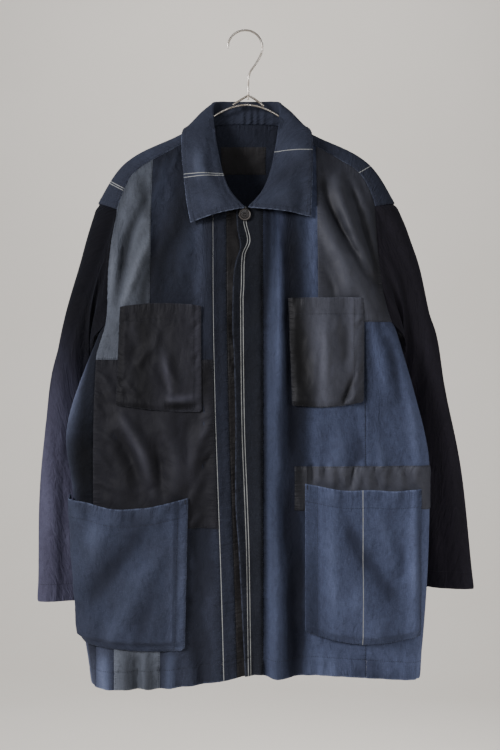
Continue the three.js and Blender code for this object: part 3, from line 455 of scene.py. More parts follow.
def frontSheet(cut, rows, setBack=None):  # rows: gathers of each edge that the piece is sewn down along
    low, top, hemmed = cut.get("low", body["hem"]), cut.get("top", tuckedTop), "low" not in cut
    u, v = grid(*cut["size"], cut["pitch"], hemDepth if hemmed else None)

    def girth(drop):
        return lerp(cut["left"](drop), cut["right"](drop), u)
    drop = settle(lambda drop: bodyPoint(girth(drop), drop), low, top, u, v)
    points, rise = creasedPoint(girth(drop), drop)
    if setBack:
        points[..., 1] += setBack(points[..., 0], drop)
    # painted light towards the hem, then painted shade and light along the folds
    toneAndShade = lerp(*cut.get("toneAndShade", frontShade["usual"]), ease(drop, frontShade["from"], frontShade["to"]))
    edges = {key: value * hemmed for key, value in hemForm.items()}  # nothing where the low edge is sewn down
    edges["pucker"] = edges["pucker"] + [(edge, *row) for edge, row in rows.items() if edge in cut]
    edges["worn"] = edges["worn"] + cut.get("worn", [])
    return dress(points, lift=cut.get("lift", 0.0), rise=rise, around=girth(drop), **edges,
                 toneAndShade=withPaintedShade(toneAndShade, points[..., 0], drop, frontPaintedShade))


def inset(sheet, edge, depth):  # points and normals along an edge, that far in from it
    lines, turns = sheet["points"], sheet["normals"]
    if edge in ("left", "right"):
        lines, turns = lines.transpose(1, 0, 2), turns.transpose(1, 0, 2)
    if edge in ("right", "top"):
        lines, turns = lines[:, ::-1], turns[:, ::-1]
    return tuple(np.array([alongRun(depth, runLength(line), value) for line, value in zip(lines, values)])
                 for values in (lines, turns))


# objects and materials

def chooseOnly(piece):
    bpy.ops.object.select_all(action="DESELECT")
    bpy.context.view_layer.objects.active = piece
    piece.select_set(True)


def newObject(name, data):
    made = bpy.data.objects.new(name, data)
    bpy.context.scene.collection.objects.link(made)
    return made


def newMesh(name, points, faces):
    mesh = bpy.data.meshes.new(name)
    mesh.from_pydata((np.reshape(points, (-1, 3)) * mm).tolist(), [], faces)
    made = newObject(name, mesh)
    chooseOnly(made)
    return made


def tint(red, green, blue):  # colour picked on a screen, as the shader needs it
    return tuple(c / 255 / 12.92 if c < 10.3 else ((c / 255 + 0.055) / 1.055) ** 2.4 for c in (red, green, blue)) + (1,)


def put(tree, socket, value):  # a link or a fixed value
    if isinstance(value, bpy.types.NodeSocket):
        tree.links.new(value, socket)
    else:
        socket.default_value = value


def feed(tree, made, **values):  # values of named sockets, with "_" for a space
    for key, value in values.items():
        put(tree, made.inputs[key.replace("_", " ")], value)


def putNode(tree, kind, settings=None, **values):
    made = tree.nodes.new(kind)
    for key, value in (settings or {}).items():
        setattr(made, key, value)
    feed(tree, made, **values)
    return made


def calc(tree, operation, *values, kind="Math"):
    made = putNode(tree, "ShaderNode" + kind, {"operation": operation})
    for socket, value in zip(made.inputs, values):
        put(tree, socket, value)
    return made.outputs["Value" if operation == "LENGTH" else 0]


def blendColour(tree, factor, first, second, way="MIX"):
    made = putNode(tree, "ShaderNodeMix", {"data_type": "RGBA", "blend_type": way})
    for number, value in ((0, factor), (6, first), (7, second)):  # its sockets for colours
        put(tree, made.inputs[number], value)
    return made.outputs[2]


def ramp(tree, value, low, high, start=0.0, stop=1.0):
    return putNode(tree, "ShaderNodeMapRange", {"interpolation_type": "SMOOTHSTEP"}, Value=value,
                   From_Min=low, From_Max=high, To_Min=start, To_Max=stop).outputs["Result"]


def grain(tree, place, size, detail, rough, bend):  # unevenness of a given size along the cloth, in metres
    scaled = calc(tree, "DIVIDE", place, (*size, 1), kind="VectorMath")
    return putNode(tree, "ShaderNodeTexNoise", Vector=scaled, Scale=1.0, Detail=detail, Roughness=rough,
                   Distortion=bend).outputs["Fac"]


def newMaterial(name):
    material = bpy.data.materials.new(name)
    material.use_nodes = True
    return material, material.node_tree, material.node_tree.nodes["Principled BSDF"]


def noiseMaterial(name, scale, detail, bend=0.0):  # material with a noise in space, for what isn't cloth
    material, tree, shader = newMaterial(name)
    spot = putNode(tree, "ShaderNodeTexCoord").outputs["Object"]
    noise = putNode(tree, "ShaderNodeTexNoise", Vector=spot, Scale=scale, Detail=detail, Distortion=bend)
    return material, tree, shader, spot, noise.outputs["Fac"]


# unevenness of every cloth: size across and along it in metres, detail, roughness, distortion
grains = {
    "patchy": ((0.06, 0.08), 4, 0.6, 0.5), "washed": ((0.007, 0.011), 4, 0.65, 0),
    "speckle": ((0.0017, 0.0021), 2, 0.7, 0), "slub": ((0.0009, 0.011), 2, 0.6, 0),
    "weft": ((0.009, 0.0009), 2, 0.6, 0),
    "endGathers": ((0.0045, 0.05), 2, 0.5, 0), "sideGathers": ((0.05, 0.0045), 2, 0.5, 0),
}
bumpDepth = {"crumple": 0.004, "gather": 0.0026, "weave": 0.0005}  # metres


def clothMaterial(name, look):
    material, tree, shader = newMaterial(name)
    place = putNode(tree, "ShaderNodeUVMap", {"uv_map": "cloth"}).outputs["UV"]
    noise = {key: grain(tree, place, *values) for key, values in grains.items()}

    def mark(attribute):
        return putNode(tree, "ShaderNodeAttribute", {"attribute_name": attribute}).outputs["Fac"]

    def times(first, second):
        return calc(tree, "MULTIPLY", first, second)
    thread = calc(tree, "ADD", times(noise["slub"], 0.6), times(noise["weft"], 0.4))
    rubbed = times(ramp(tree, mark("edge"), 0.2, look["edgeReach"], 1, 0), ramp(tree, noise["washed"], 0.35, 0.6))
    colour = look["mid"]
    for factor, shade in (
            (ramp(tree, noise["patchy"], 0.3, 0.7), "pale"),
            (ramp(tree, noise["washed"], 0.45, 0.75, 0, look["mottle"]), "deep"),
            (ramp(tree, thread, 0.4, 0.6, 0, look["slub"]), "deep"),
            (ramp(tree, noise["speckle"], 0.5, 0.72, 0, look["speckle"]), "worn"),
            (ramp(tree, mark("rise"), 0.5, 6.0, 0, look["rubAndHighlight"]), "worn"),  # ridges are rubbed pale, partly a painted highlight
            (ramp(tree, mark("rise"), -0.5, -4.5, 0, look["troughShade"]), "deep"),  # painted shade in the troughs
            (times(rubbed, look["edgeWear"]), "worn")):  # free edges are the palest
        colour = blendColour(tree, factor, colour, look[shade])
    # painted light and shade: the colour is scaled by a mark that holds the cloth's tone with painted shade and light
    colour = blendColour(tree, 1.0, colour, times(mark("toneAndShade"), 2.0), "MULTIPLY")
    for attribute in ("stripe1", "stripe2") if look["stripe"] else ():
        away = calc(tree, "ABSOLUTE", mark(attribute))
        line = times(ramp(tree, away, 0.3, 0.75, 1, 0), ramp(tree, noise["washed"], 0.25, 0.6, 0.7, 1))
        colour = blendColour(tree, line, colour, look["stripe"])
    crumple = grain(tree, place, look["crumpleSize"], 4, 0.55, 0.8)
    if look["crisp"]:
        crumple = calc(tree, "ABSOLUTE", calc(tree, "SUBTRACT", crumple, 0.5))
    gathers = calc(tree, "ADD", times(noise["endGathers"], ramp(tree, mark("ends"), 2, 22, 1, 0)),
                   times(noise["sideGathers"], ramp(tree, mark("sides"), 2, 18, 1, 0)))
    normal = {}
    for key, height in (("crumple", crumple), ("gather", gathers), ("weave", thread)):
        bump = putNode(tree, "ShaderNodeBump", Strength=look[key], Distance=bumpDepth[key], Height=height, **normal)
        normal = {"Normal": bump.outputs[0]}
    rough = ramp(tree, noise["patchy"], 0.3, 0.7, look["rough"] - 0.06, look["rough"] + 0.06)
    feed(tree, shader, Base_Color=colour, Roughness=rough, Specular_IOR_Level=look["shine"],
         Sheen_Weight=look["sheen"], Sheen_Roughness=0.45, Sheen_Tint=look["sheenTint"], **normal)
    return material


cotton = {
    "mottle": 0.45, "slub": 0.36, "rubAndHighlight": 0.26, "troughShade": 0.8, "edgeWear": 0.6, "edgeReach": 3.2, "rough": 0.9,
    "shine": 0.2, "sheen": 0.1, "sheenTint": tint(150, 165, 200), "crumple": 0.6, "crumpleSize": (0.013, 0.02),
    "crisp": False, "gather": 0.8, "weave": 0.4, "speckle": 0.16, "stripe": tint(172, 174, 170),
}
nylon = dict(
    cotton, mottle=0.25, slub=0.12, rubAndHighlight=0.16, troughShade=0.5, edgeWear=0.3, edgeReach=2.2, rough=0.52, shine=0.36,
    sheen=0.03, sheenTint=tint(190, 195, 205), crumple=0.36, crumpleSize=(0.024, 0.036), crisp=True, gather=0.6,
    weave=0.15, speckle=0.08, stripe=None)
looks = {}
for key, name, base, deep, mid, pale, worn, changes in (
        ("midBlue", "mid blue cotton", cotton, (45, 49, 65), (68, 75, 98), (77, 85, 110), (106, 116, 145), {}),
        # dark blue: partly the cloth's own tone, partly painted shade of the -X half
        ("darkBlueAndShade", "dark blue cotton with painted shade", cotton, (28, 30, 38), (38, 41, 52), (45, 49, 61), (75, 83, 104), {}),
        ("collarBlue", "collar cotton", cotton, (37, 40, 50), (50, 54, 67), (58, 63, 78), (102, 110, 131),
         {"slub": 0.16, "edgeWear": 0.9, "edgeReach": 2.6}),
        # pocket blue of the -X pocket: partly its own tone, partly painted shade
        ("pocketBlueAndShade", "pocket cotton with painted shade", cotton, (42, 46, 59), (57, 62, 78), (65, 71, 90), (98, 107, 131), {}),
        ("placketBlue", "greyer blue cotton", cotton, (24, 26, 31), (33, 35, 42), (39, 42, 50), (76, 82, 98), {}),
        ("greyCotton", "grey cotton", cotton, (68, 72, 79), (91, 96, 106), (102, 108, 118), (130, 136, 146), {}),
        # the +X sleeve is near black partly by its own cloth, partly as painted shade
        ("leftSleeveAndShade", "near black cotton with painted shade", cotton, (26, 24, 28), (35, 33, 40), (43, 40, 48), (62, 59, 70),
         {"slub": 0.16, "sheen": 0.06, "edgeWear": 0.3}),
        ("rightSleeve", "dark purple navy cotton", cotton, (42, 40, 53), (57, 56, 71), (67, 67, 83), (94, 94, 115),
         {"slub": 0.2, "sheen": 0.12, "edgeWear": 0.3}),
        # one nylon in two tones: painted shade on the -X half, painted light on the +X half
        ("nylonInShade", "nylon with painted shade", nylon, (22, 22, 26), (30, 30, 35), (35, 35, 41), (64, 65, 73),
         {"rough": 0.66, "shine": 0.2, "rubAndHighlight": 0.14, "crumple": 0.46, "gather": 0.7}),
        ("nylonInLight", "nylon with painted light", nylon, (36, 37, 42), (64, 66, 75), (73, 75, 85), (108, 111, 122),
         {"troughShade": 0.8, "rubAndHighlight": 0.18, "rough": 0.58, "shine": 0.28}),
        # the strip under the placket's edge: dark partly by its own cloth, partly painted shade
        ("stripNylonAndShade", "brown grey nylon with painted shade", nylon, (20, 19, 20), (27, 26, 27), (33, 31, 32), (56, 54, 54), {}),
        ("blankNylon", "blank dark patch", nylon, (33, 32, 33), (45, 44, 45), (53, 52, 53), (80, 78, 79),
         {"rough": 0.75, "shine": 0.2})):
    shades = {"deep": tint(*deep), "mid": tint(*mid), "pale": tint(*pale), "worn": tint(*worn)}
    looks[key] = clothMaterial(name, dict(base, **shades, **changes))
print("materials made:", len(looks))


# pieces of cloth

sheets = {}  # by node, for the sewing


def finishOf(look, slot, thick, cut, area, *hangs):
    return {"look": look, "slot": slot, "thick": thick, "cut": cut, "area": area, "hangs": list(hangs)}


def clothPiece(node, sheet, finish):
    sheets[node] = sheet
    points = sheet["points"]
    columns, rows = points.shape[:2]
    index = np.arange(columns * rows).reshape(columns, rows)
    across, along = sheet["runs"]["left"], sheet["runs"]["low"]
    flat = np.stack([across, along], -1) * mm
    if sheet["closed"]:
        index = np.vstack([index, index[:1]])
        last = across[-1:] + np.linalg.norm(points[:1] - points[-1:], axis=2)
        flat = np.concatenate([flat, np.stack([last, along[:1]], -1) * mm])
    here, after = slice(None, -1), slice(1, None)
    corners = [(here, here), (after, here), (after, after), (here, after)]
    piece = newMesh(node + "_cloth", points, np.stack([index[c] for c in corners], -1).reshape(-1, 4).tolist())
    places = np.stack([flat[c] for c in corners], 2).astype(np.float32)
    piece.data.uv_layers.new(name="cloth").data.foreach_set("uv", places.ravel())
    blank = np.full((columns, rows), far)
    first, second = [*sheet["stripes"], blank, blank][:2]
    for key, values in dict(sheet["marks"], stripe1=first, stripe2=second).items():
        attribute = piece.data.attributes.new(key, "FLOAT", "POINT")
        attribute.data.foreach_set("value", np.ascontiguousarray(values, np.float32).ravel())
    shell = piece.modifiers.new("shell", "SOLIDIFY")
    shell.thickness, shell.offset = finish["thick"] * mm, -1
    bpy.ops.object.modifier_apply(modifier="shell")
    bpy.ops.object.shade_smooth_by_angle(angle=math.radians(48))
    piece.data.materials.append(looks[finish["look"]])
    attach(piece, "root")
    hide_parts(node)


# under front at -X: base panel, band, edge strip
underFront = {
    "front_right": {
        "left": rightSide, "right": atX(body["bandSeam"], closing), "size": (160, 780), "pitch": 3.2,
        "finish": finishOf("darkBlueAndShade", "blue_cotton", 1.2, (0.175, 0.80), 0.130, "shoulder_right")},
    "band_right": {
        "left": atX(body["bandSeam"], closing), "right": atX(body["stripSeam"], closing), "size": (20, 740),
        "pitch": 2.2,
        "finish": finishOf("darkBlueAndShade", "blue_cotton", 1.2, (0.022, 0.74), 0.0148, "front_right")},
    "edge_strip_right": {
        "left": atX(body["stripSeam"], closing), "right": atX(12, closing), "size": (41, 690), "pitch": 3.0,
        "finish": finishOf("stripNylonAndShade", "dark_nylon", 1.0, (0.042, 0.70), 0.0282, "band_right")},
}
bandStripe = 1.3  # from the band's seam


def stepBack(x, drop):  # the under front steps back under the placket
    return body["lap"] * ease(x - closing(drop), body["lapFrom"], body["lapTo"])


for node, cut in underFront.items():
    sheet = frontSheet(cut, {"right": (0.5, 11, 6, 2)}, stepBack)
    if node == "band_right":
        sheet["stripes"] = [sheet["runs"]["left"] - bandStripe]
    clothPiece(node, sheet, cut["finish"])

# patches on the under front
patches = {
    "patch_grey_chest": {
        "left": rightSide, "right": atX(-137.5), "low": 487, "size": (60, 290), "pitch": 3.0, "lift": 0.9,
        "toneAndShade": (0.34, 0.85),
        "finish": finishOf("greyCotton", "grey_cotton", 0.7, (0.066, 0.33), 0.0188, "front_right")},
    "patch_nylon_waist": {
        "left": rightSide, "right": atX(-49, closing), "low": 724, "top": 487, "size": (165, 237),
        "pitch": 3.0, "lift": 0.9,
        "finish": finishOf("nylonInShade", "dark_nylon", 0.7, (0.18, 0.24), 0.0413, "front_right")},
    "patch_grey_hem": {
        "left": atX(-186), "right": atX(-121), "top": 830, "size": (62, 115), "pitch": 3.0, "lift": 0.9,
        "finish": finishOf("greyCotton", "grey_cotton", 0.7, (0.068, 0.125), 0.0082, "front_right")},
}
patchGathers = {"right": (0.7, 10, 7, 3), "left": (0.5, 12, 6, 3), "low": (0.9, 10, 7, 3), "top": (0.9, 10, 7, 3)}
for node, cut in patches.items():
    clothPiece(node, frontSheet(cut, patchGathers, stepBack), cut["finish"])
print("under front made")

# over front at +X: placket with its free edge, inner and outer panel, two nylon patches
placketEdge = curve(
    (270, -15), (300, -13), (326, -9), (346, -15), (371, -18.7), (444, -19.8), (481, -17.7), (582, -15.4),
    (686, -15.4), (759, -10.5), (879, -4.4), (940, -1.4)
)
placketStripe = curve(
    (270, -4.4), (291, -3.6), (317, 1.6), (337, -5.6), (383, -7.2), (402, -8.2), (581, -6.1), (683, -2.3), (762, 0.4),
    (924, 2.9)
)
placket = {
    "left": atX(0, placketEdge), "right": atX(body["placketSeam"]), "size": (40, 670), "pitch": 2.6, "worn": ["left"],
    "stripeGap": 3.5, "curl": 3.2, "curlReach": 9,
    "finish": finishOf("placketBlue", "blue_cotton", 1.4, (0.046, 0.68), 0.0262, "front_left_inner"),
}
sheet = frontSheet(placket, {"left": (0.9, 13, 7, 2), "right": (0.6, 12, 7, 2)})
fromEdge = gridRuns(sheet["points"])["left"]
sheet["points"][..., 1] -= placket["curl"] * bell(fromEdge, placket["curlReach"])  # the free edge stands off
firstStripe = sheet["points"][..., 0] - placketStripe(-sheet["points"][..., 2])
sheet["stripes"] = [firstStripe, firstStripe - placket["stripeGap"]]
clothPiece("placket", sheet, placket["finish"])

overFront = {
    "front_left_inner": {
        "left": atX(body["placketSeam"]), "right": atX(body["outerSeam"]), "size": (150, 760), "lift": 0.0,
        "finish": finishOf("midBlue", "blue_cotton", 1.2, (0.15, 0.82), 0.117, "shoulder_left")},
    "front_left_outer": {
        "left": atX(body["outerSeam"]), "right": leftSide, "size": (80, 700), "lift": 0.0, "turnLight": (0.6, 12, 15),
        "finish": finishOf("midBlue", "blue_cotton", 1.2, (0.095, 0.74), 0.0534, "shoulder_left")},
    "patch_nylon_chest": {
        "left": atX(102), "right": leftSide, "low": 433, "size": (100, 240), "lift": 0.9,
        "finish": finishOf("nylonInLight", "dark_nylon", 0.7, (0.105, 0.29), 0.0246, "front_left_inner")},
    "patch_nylon_strip": {
        "left": atX(68), "right": leftSide, "low": 699, "top": 637, "size": (200, 62), "lift": 0.9,
        "finish": finishOf("nylonInLight", "dark_nylon", 0.7, (0.21, 0.065), 0.0128, "front_left_inner")},
}
overGathers = {"left": (0.6, 11, 7, 3), "low": (0.8, 10, 7, 3), "top": (2.2, 13, 18, 4)}
for node, cut in overFront.items():
    sheet = frontSheet(dict(cut, pitch=3.2, toneAndShade=(0.34, 0.68)), overGathers)
    if "turnLight" in cut:  # painted light on the turn of the side
        amount, inward, reach = cut["turnLight"]
        sheet["marks"]["toneAndShade"] *= 1 + amount * bell(sheet["runs"]["right"] - inward, reach)
    clothPiece(node, sheet, cut["finish"])
print("over front made")

# side panels under the arms
sidePanel = {
    "size": (150, 510), "pitch": 4.0, "start": 450,
    # creases and painted shade and light: half width, height or strength, then percent from the front edge to the back
    # edge, and drop
    "creases": {-1: [
        (16, 3.2, (50, 470), (42, 640), (50, 800)), (14, -2.4, (28, 520), (30, 700)), (12, 2.4, (72, 600), (66, 960)),
    ], 1: [
        (16, 3.2, (45, 470), (50, 660), (42, 840)), (14, -2.4, (70, 520), (66, 720)), (12, 2.4, (28, 640), (34, 960)),
    ]},
    "paintedShade": {-1: [
        (28, 0.9, (12, 440), (14, 515), (12, 580)), (22, -0.8, (14, 590), (16, 628), (14, 665)),
        (26, 2.4, (4, 860), (4, 1050)),
    ], 1: []},
    "finish": {-1: finishOf("darkBlueAndShade", "blue_cotton", 1.2, (0.20, 0.52), 0.0813, "front_right"),
               1: finishOf("midBlue", "blue_cotton", 1.2, (0.15, 0.52), 0.0611, "front_left_outer")},
}
for side in sides:
    u, v = grid(*sidePanel["size"], sidePanel["pitch"], hemDepth)
    share = 1 - u if side < 0 else u  # from the front edge to the back edge
    dip = body["underarm"] + body["underarmDip"] * np.sin(math.pi * share)
    drop = settle(lambda drop: bodyPoint(sideGirth(side, share, drop), drop), body["hem"], lambda x: dip, u, v,
                  sidePanel["start"])
    girth = sideGirth(side, share, drop)
    points = creasedPoint(girth, drop)[0]
    high = creaseHeight(100 * share, drop, sidePanel["creases"][side])
    points = points + gridNormals(points) * (high * np.sin(math.pi * share))[..., None]
    toneAndShade = 0.5
    if side < 0:  # painted light on its turn, painted shade before and behind it
        toneAndShade = lerp(0.13, 1.9, ease(share, 0.08, 0.31)) * lerp(1, 0.27, ease(share, 0.34, 0.6))
    sheet = dress(points, rise=high, around=girth, **hemForm,
                  toneAndShade=withPaintedShade(toneAndShade, 100 * share, drop, sidePanel["paintedShade"][side]))
    clothPiece("side_" + sideName[side], sheet, sidePanel["finish"][side])

# back, from one back corner to the other
backPanel = {
    "size": (420, 800), "pitch": 4.6, "relief": 1.7, "start": 50, "edgeStart": 0.08,
    "ripples": [(0.9, 46, 11, 1), (0.35, 19, 12, 1)],
    "creases": [
        (18, 4, (-120, 190), (-104, 420), (-112, 700)), (16, -3, (-84, 240), (-80, 520)),
        (20, 4, (118, 200), (106, 430), (116, 760)), (16, -3, (82, 230), (84, 560)), (22, 3, (-20, 480), (-26, 980)),
        (20, -3, (22, 520), (20, 985)), (12, 3, (-170, 300), (-120, 380)), (12, 3, (172, 300), (124, 388)),
        (9, -2, (-178, 330), (-140, 410)), (9, -2, (178, 330), (140, 416)), (18, 4, (-150, 620), (-160, 985)),
        (18, -3, (-112, 740), (-116, 985)), (18, 4, (152, 600), (160, 985)), (18, -3, (110, 720), (112, 985)),
        (14, 2.4, (64, 640), (66, 985)), (14, 2.4, (-68, 660), (-70, 985)),
    ],
    "finish": finishOf("darkBlueAndShade", "blue_cotton", 1.2, (0.44, 0.82), 0.2658, "shoulder_right", "shoulder_left"),
}


def backPoint(share, drop):  # share runs from 1 at the +X edge to -1 at the -X edge
    side = np.where(share < 0, -1.0, 1.0)
    cut = section(side, drop)
    edge = cut["girth"] - (cut["flankEnd"] + cut["backEnd"]) / 2
    return bodyPoint(side * (cut["girth"] - np.abs(share) * edge), drop)


def backHigh(x, drop):
    high = backPanel["relief"] * creaseHeight(x, drop, backPanel["creases"]) + unevenness(x, drop, backPanel["ripples"])
    return high * ease(drop - backTop(x), 0, backPanel["start"])


u, v = grid(*backPanel["size"], backPanel["pitch"], hemDepth)
across = 1 - 2 * u + 0 * v
drop = settle(lambda drop: backPoint(across, drop), body["hem"], backTop, u, v)
points = backPoint(across, drop)
high = backHigh(points[..., 0], drop) * ease(1 - np.abs(across), 0, backPanel["edgeStart"])
points[..., 1] += high
clothPiece("back", dress(points, rise=high, around=points[..., 0], **hemForm), backPanel["finish"])

# blank patch on the inner face of the back
neckPatch = {
    "from": -38, "to": 29, "top": 170, "low": 211, "lift": 1.8, "pitch": 3,
    "finish": finishOf("blankNylon", "dark_nylon", 0.7, (0.069, 0.043), 0.0028, "back"),
}
u, v = grid(neckPatch["to"] - neckPatch["from"], neckPatch["low"] - neckPatch["top"], neckPatch["pitch"])
x, drop = lerp(neckPatch["from"], neckPatch["to"], u) + 0 * v, lerp(neckPatch["low"], neckPatch["top"], v) + 0 * u
side = np.where(x < 0, -1.0, 1.0)
points = bodyPoint(side * (section(side, drop)["girth"] - np.abs(x)), drop)
points[..., 1] += backHigh(points[..., 0], drop) - neckPatch["lift"]
sheet = dress(points, pucker=[("low", 0.4, 9, 6, 2), ("top", 0.4, 9, 6, 2)])
clothPiece("neck_patch", sheet, neckPatch["finish"])
print("sides and back made")

# shoulder strips: arches from the front seam over the hanger to the back seam
shoulderStrip = {
    "lift": 0.9, "size": (185, 62), "pitch": 2.6, "roll": 0.9, "sewn": 7, "gathers": (0.9, 8, 6, 4),
    "stripes": {-1: [(0.817, 0), (0.817, 3.2)], 1: [(0.68, 0)]},  # share of the length, then a shift
    "toneAndShade": {-1: (0.58, 0.46), 1: (0.45, 0.39)},  # painted light, brighter on the -X strip: values at the neck and at the sleeve
    "finish": finishOf("collarBlue", "blue_cotton", 1.3, (0.066, 0.19), 0.0104, "hanger_bow"),
}


def backFoot(side, x):  # where the back reaches a place x at the shoulder seam
    drop = body["seam"](x)
    cut = section(side, drop)
    low, high = cut["flankEnd"] + 0 * x, cut["girth"] + 0 * x
    for turn in range(34):  # by halving
        middle = (low + high) / 2
        outside = sectionPoint(cut, middle)[0] > x
        low, high = np.where(outside, middle, low), np.where(outside, high, middle)
    return bodyPoint(side * low, drop)


def topCorner(edge, top):  # upper end of a panel's side edge
    drop = 277.0
    for turn in range(30):  # until it settles
        drop = top(bodyPoint(edge(drop), drop)[..., 0])
    return bodyPoint(edge(drop), drop)


def archPoint(side, share, v):  # v from -1 at the front seam to 1 at the back seam
    onFront, atEnd = (v < 0)[..., None], (share > 0.9999)[..., None]
    frontEnd = topCorner(frontEdge[side], frontTop)
    backEnd = topCorner(lambda drop: backEdge(side, drop), backTop)
    x = lerp(body["neckHalf"], np.where(v < 0, abs(frontEnd[0]), abs(backEnd[0])), share)
    drop = body["seam"](x)
    foot = np.where(onFront, bodyPoint(side * girthAt(section(side, drop), x), drop), backFoot(side, x))
    foot = np.where(atEnd, np.where(onFront, frontEnd, backEnd), foot)
    crown = lerp(body["neckHalf"], body["shoulderHalf"], share)
    angle = (1 - np.abs(v)) * math.pi / 2
    return np.stack([side * lerp(x, crown, np.sin(angle)), foot[..., 1] * np.cos(angle),
                     lerp(foot[..., 2], -body["shoulder"](crown), np.sin(angle))], -1)


for side in sides:
    u, v = grid(*shoulderStrip["size"], shoulderStrip["pitch"])
    share, v = np.broadcast_arrays(u if side > 0 else 1 - u, 2 * v - 1)
    edges = ("low", "top")
    sheet = dress(archPoint(side, share, v), lift=shoulderStrip["lift"], roll=shoulderStrip["roll"], worn=edges,
                  pucker=[(edge, *shoulderStrip["gathers"]) for edge in edges],
                  sewn=[(edge, shoulderStrip["sewn"]) for edge in edges],
                  toneAndShade=lerp(*shoulderStrip["toneAndShade"][side], share))
    along = sheet["runs"]["left" if side > 0 else "right"]
    total = along.max(0, keepdims=True)
    sheet["stripes"] = [along - place * total - shift for place, shift in shoulderStrip["stripes"][side]]
    clothPiece("shoulder_" + sideName[side], sheet, shoulderStrip["finish"])

# sleeves: a tube from the armhole to the cuff
sleeve = {
    # edges of the tube: drop, x and y
    "outer": {
        -1: [(256, 219, 0), (329, 239, -14), (392, 256, -24), (460, 271, -33), (516, 281, -39),
             (583, 290, -43), (690, 296, -47), (836, 299, -48)],
        1: [(256, 219, 0), (300, 237, -9), (340, 250, -16), (409, 264, -26), (455, 275, -32),
            (531, 288, -38), (650, 308, -44), (818, 327, -46)]},
    "inner": {
        -1: [(449, 190, -18), (476, 205, -6), (512, 213, 4), (560, 214, 13), (620, 213, 18),
             (690, 211, 22), (760, 211, 23), (836, 213, 23)],
        1: [(449, 190, -18), (476, 206, -6), (512, 215, 4), (560, 219, 13), (620, 222, 19),
            (690, 227, 22), (760, 234, 23), (818, 240, 23)]},
    "halfDepth": curve(*[(k / 7, half) for k, half in enumerate((34, 31, 29, 27, 25, 24, 24, 24))]),
    "puff": 9, "halfTurns": 46, "pitch": 4.2, "long": 560, "tuck": 2.0, "stand": 1.3, "blend": 0.55,
    "ripples": [(0.8, 70, 5, 3)],
    # creases: half width, height, then degrees round from the outer edge over the front, and percent along
    "creases": {-1: [
        (9, 4, (60, 8), (82, 26), (100, 44)), (8, -3.5, (84, 6), (104, 24), (128, 40)),
        (9, 4, (110, 4), (130, 20), (150, 36)), (9, 3.5, (40, 40), (70, 52), (110, 58)),
        (8, -3, (40, 47), (74, 58), (112, 64)), (9, 3, (60, 62), (90, 70), (120, 72)),
        (10, 3, (84, 72), (80, 88), (84, 104)), (10, -2.5, (58, 70), (56, 88), (60, 104)),
        (10, 3, (122, 74), (118, 90), (120, 104)), (10, 4, (240, 8), (222, 28), (200, 46)),
        (9, -3, (264, 10), (250, 30), (230, 50)), (10, 4, (300, 44), (270, 54), (236, 58)),
        (9, -3, (300, 52), (268, 62), (232, 66)), (11, 3, (270, 72), (276, 104)), (10, -2.5, (236, 74), (240, 104)),
        (4, 1.6, (50, 62), (84, 68)), (4, -1.4, (54, 66), (90, 74)), (4, 1.6, (60, 76), (96, 82)),
        (4, 1.4, (70, 84), (104, 92)), (4, -1.4, (66, 80), (100, 88)), (4, 1.4, (40, 70), (66, 80)),
    ], 1: [
        (9, 4, (62, 8), (84, 28), (102, 46)), (8, -3.5, (84, 6), (108, 26), (130, 42)),
        (9, 4, (112, 4), (134, 22), (152, 36)), (9, 3.5, (42, 42), (72, 53), (112, 60)),
        (8, -3, (42, 49), (76, 59), (114, 66)), (10, 3, (70, 68), (74, 88), (70, 104)),
        (10, -2.5, (98, 70), (100, 88), (98, 104)), (10, 3, (126, 74), (128, 104)),
        (10, 4, (242, 8), (224, 28), (200, 46)), (9, -3, (266, 10), (250, 30), (230, 50)),
        (10, 4, (302, 46), (272, 56), (236, 60)), (9, -3, (300, 54), (268, 64), (232, 68)),
        (11, 3, (272, 72), (276, 104)), (10, -2.5, (238, 74), (240, 104)),
    ]},
    "toneAndShade": {-1: (0.05, 1.05), 1: (0.42, 0.63)},  # painted shade at the top, painted light towards the cuff: values at the top and at the cuff
    "shadeReach": {-1: (0.3, 0.95), 1: (0.2, 1.0)},
    "finish": {-1: finishOf("rightSleeve", "sleeve_cotton", 1.2, (0.46, 0.60), 0.1250, "shoulder_right"),
               1: finishOf("leftSleeveAndShade", "sleeve_cotton", 1.2, (0.46, 0.60), 0.1250, "shoulder_left")},
}


def evenly(points, count):  # points evenly spaced along a run of points
    run = runLength(points)
    return alongRun(np.linspace(0, run[-1], count + 1), run, points)


def armhole(side):  # ring from the top of the shoulder down the front, under the arm and up the back
    v, steps, half = np.linspace(0, -1, 24), np.linspace(0, 1, 30), sleeve["halfTurns"]
    frontArch = archPoint(side, np.ones(24), v)
    backArch = archPoint(side, np.ones(24), np.where(v == 0, 1e-6, -v))[::-1]
    frontDrop = np.linspace(-frontArch[-1, 2], body["underarm"], 40)
    backDrop = np.linspace(body["underarm"], -backArch[0, 2], 40)
    frontLine = bodyPoint(frontEdge[side](frontDrop), frontDrop)
    backLine = bodyPoint(backEdge(side, backDrop), backDrop)
    under = body["underarm"] + body["underarmDip"] * np.sin(math.pi * steps)
    underLine = bodyPoint(sideGirth(side, steps, under), under)
    lowest = body["underarm"] + body["underarmDip"]
    middle = bodyPoint(sideGirth(side, 0.5, lowest), lowest)
    down = evenly(np.vstack([frontArch, frontLine[1:], underLine[1:15], [middle]]), half)
    up = evenly(np.vstack([[middle], underLine[15:], backLine[1:], backArch[1:]]), half)
    return np.vstack([down, up[1:-1]])[:, None]


def tubePoint(side, turn, share):
    outer, inner = (softLine([(side * x, y, -drop) for drop, x, y in sleeve[edge][side]], share)
                    for edge in ("outer", "inner"))
    across = (outer - inner) / 2
    run = np.stack([side * (1 - share), 0 * share, -0.6 - share], -1)
    deep = unit(np.cross(run, across)) * sleeve["halfDepth"](share)[..., None]
    deep = np.where(deep[..., 1:2] > 0, -deep, deep)
    return inner + across + across * np.cos(turn)[..., None] + deep * np.sin(turn)[..., None]


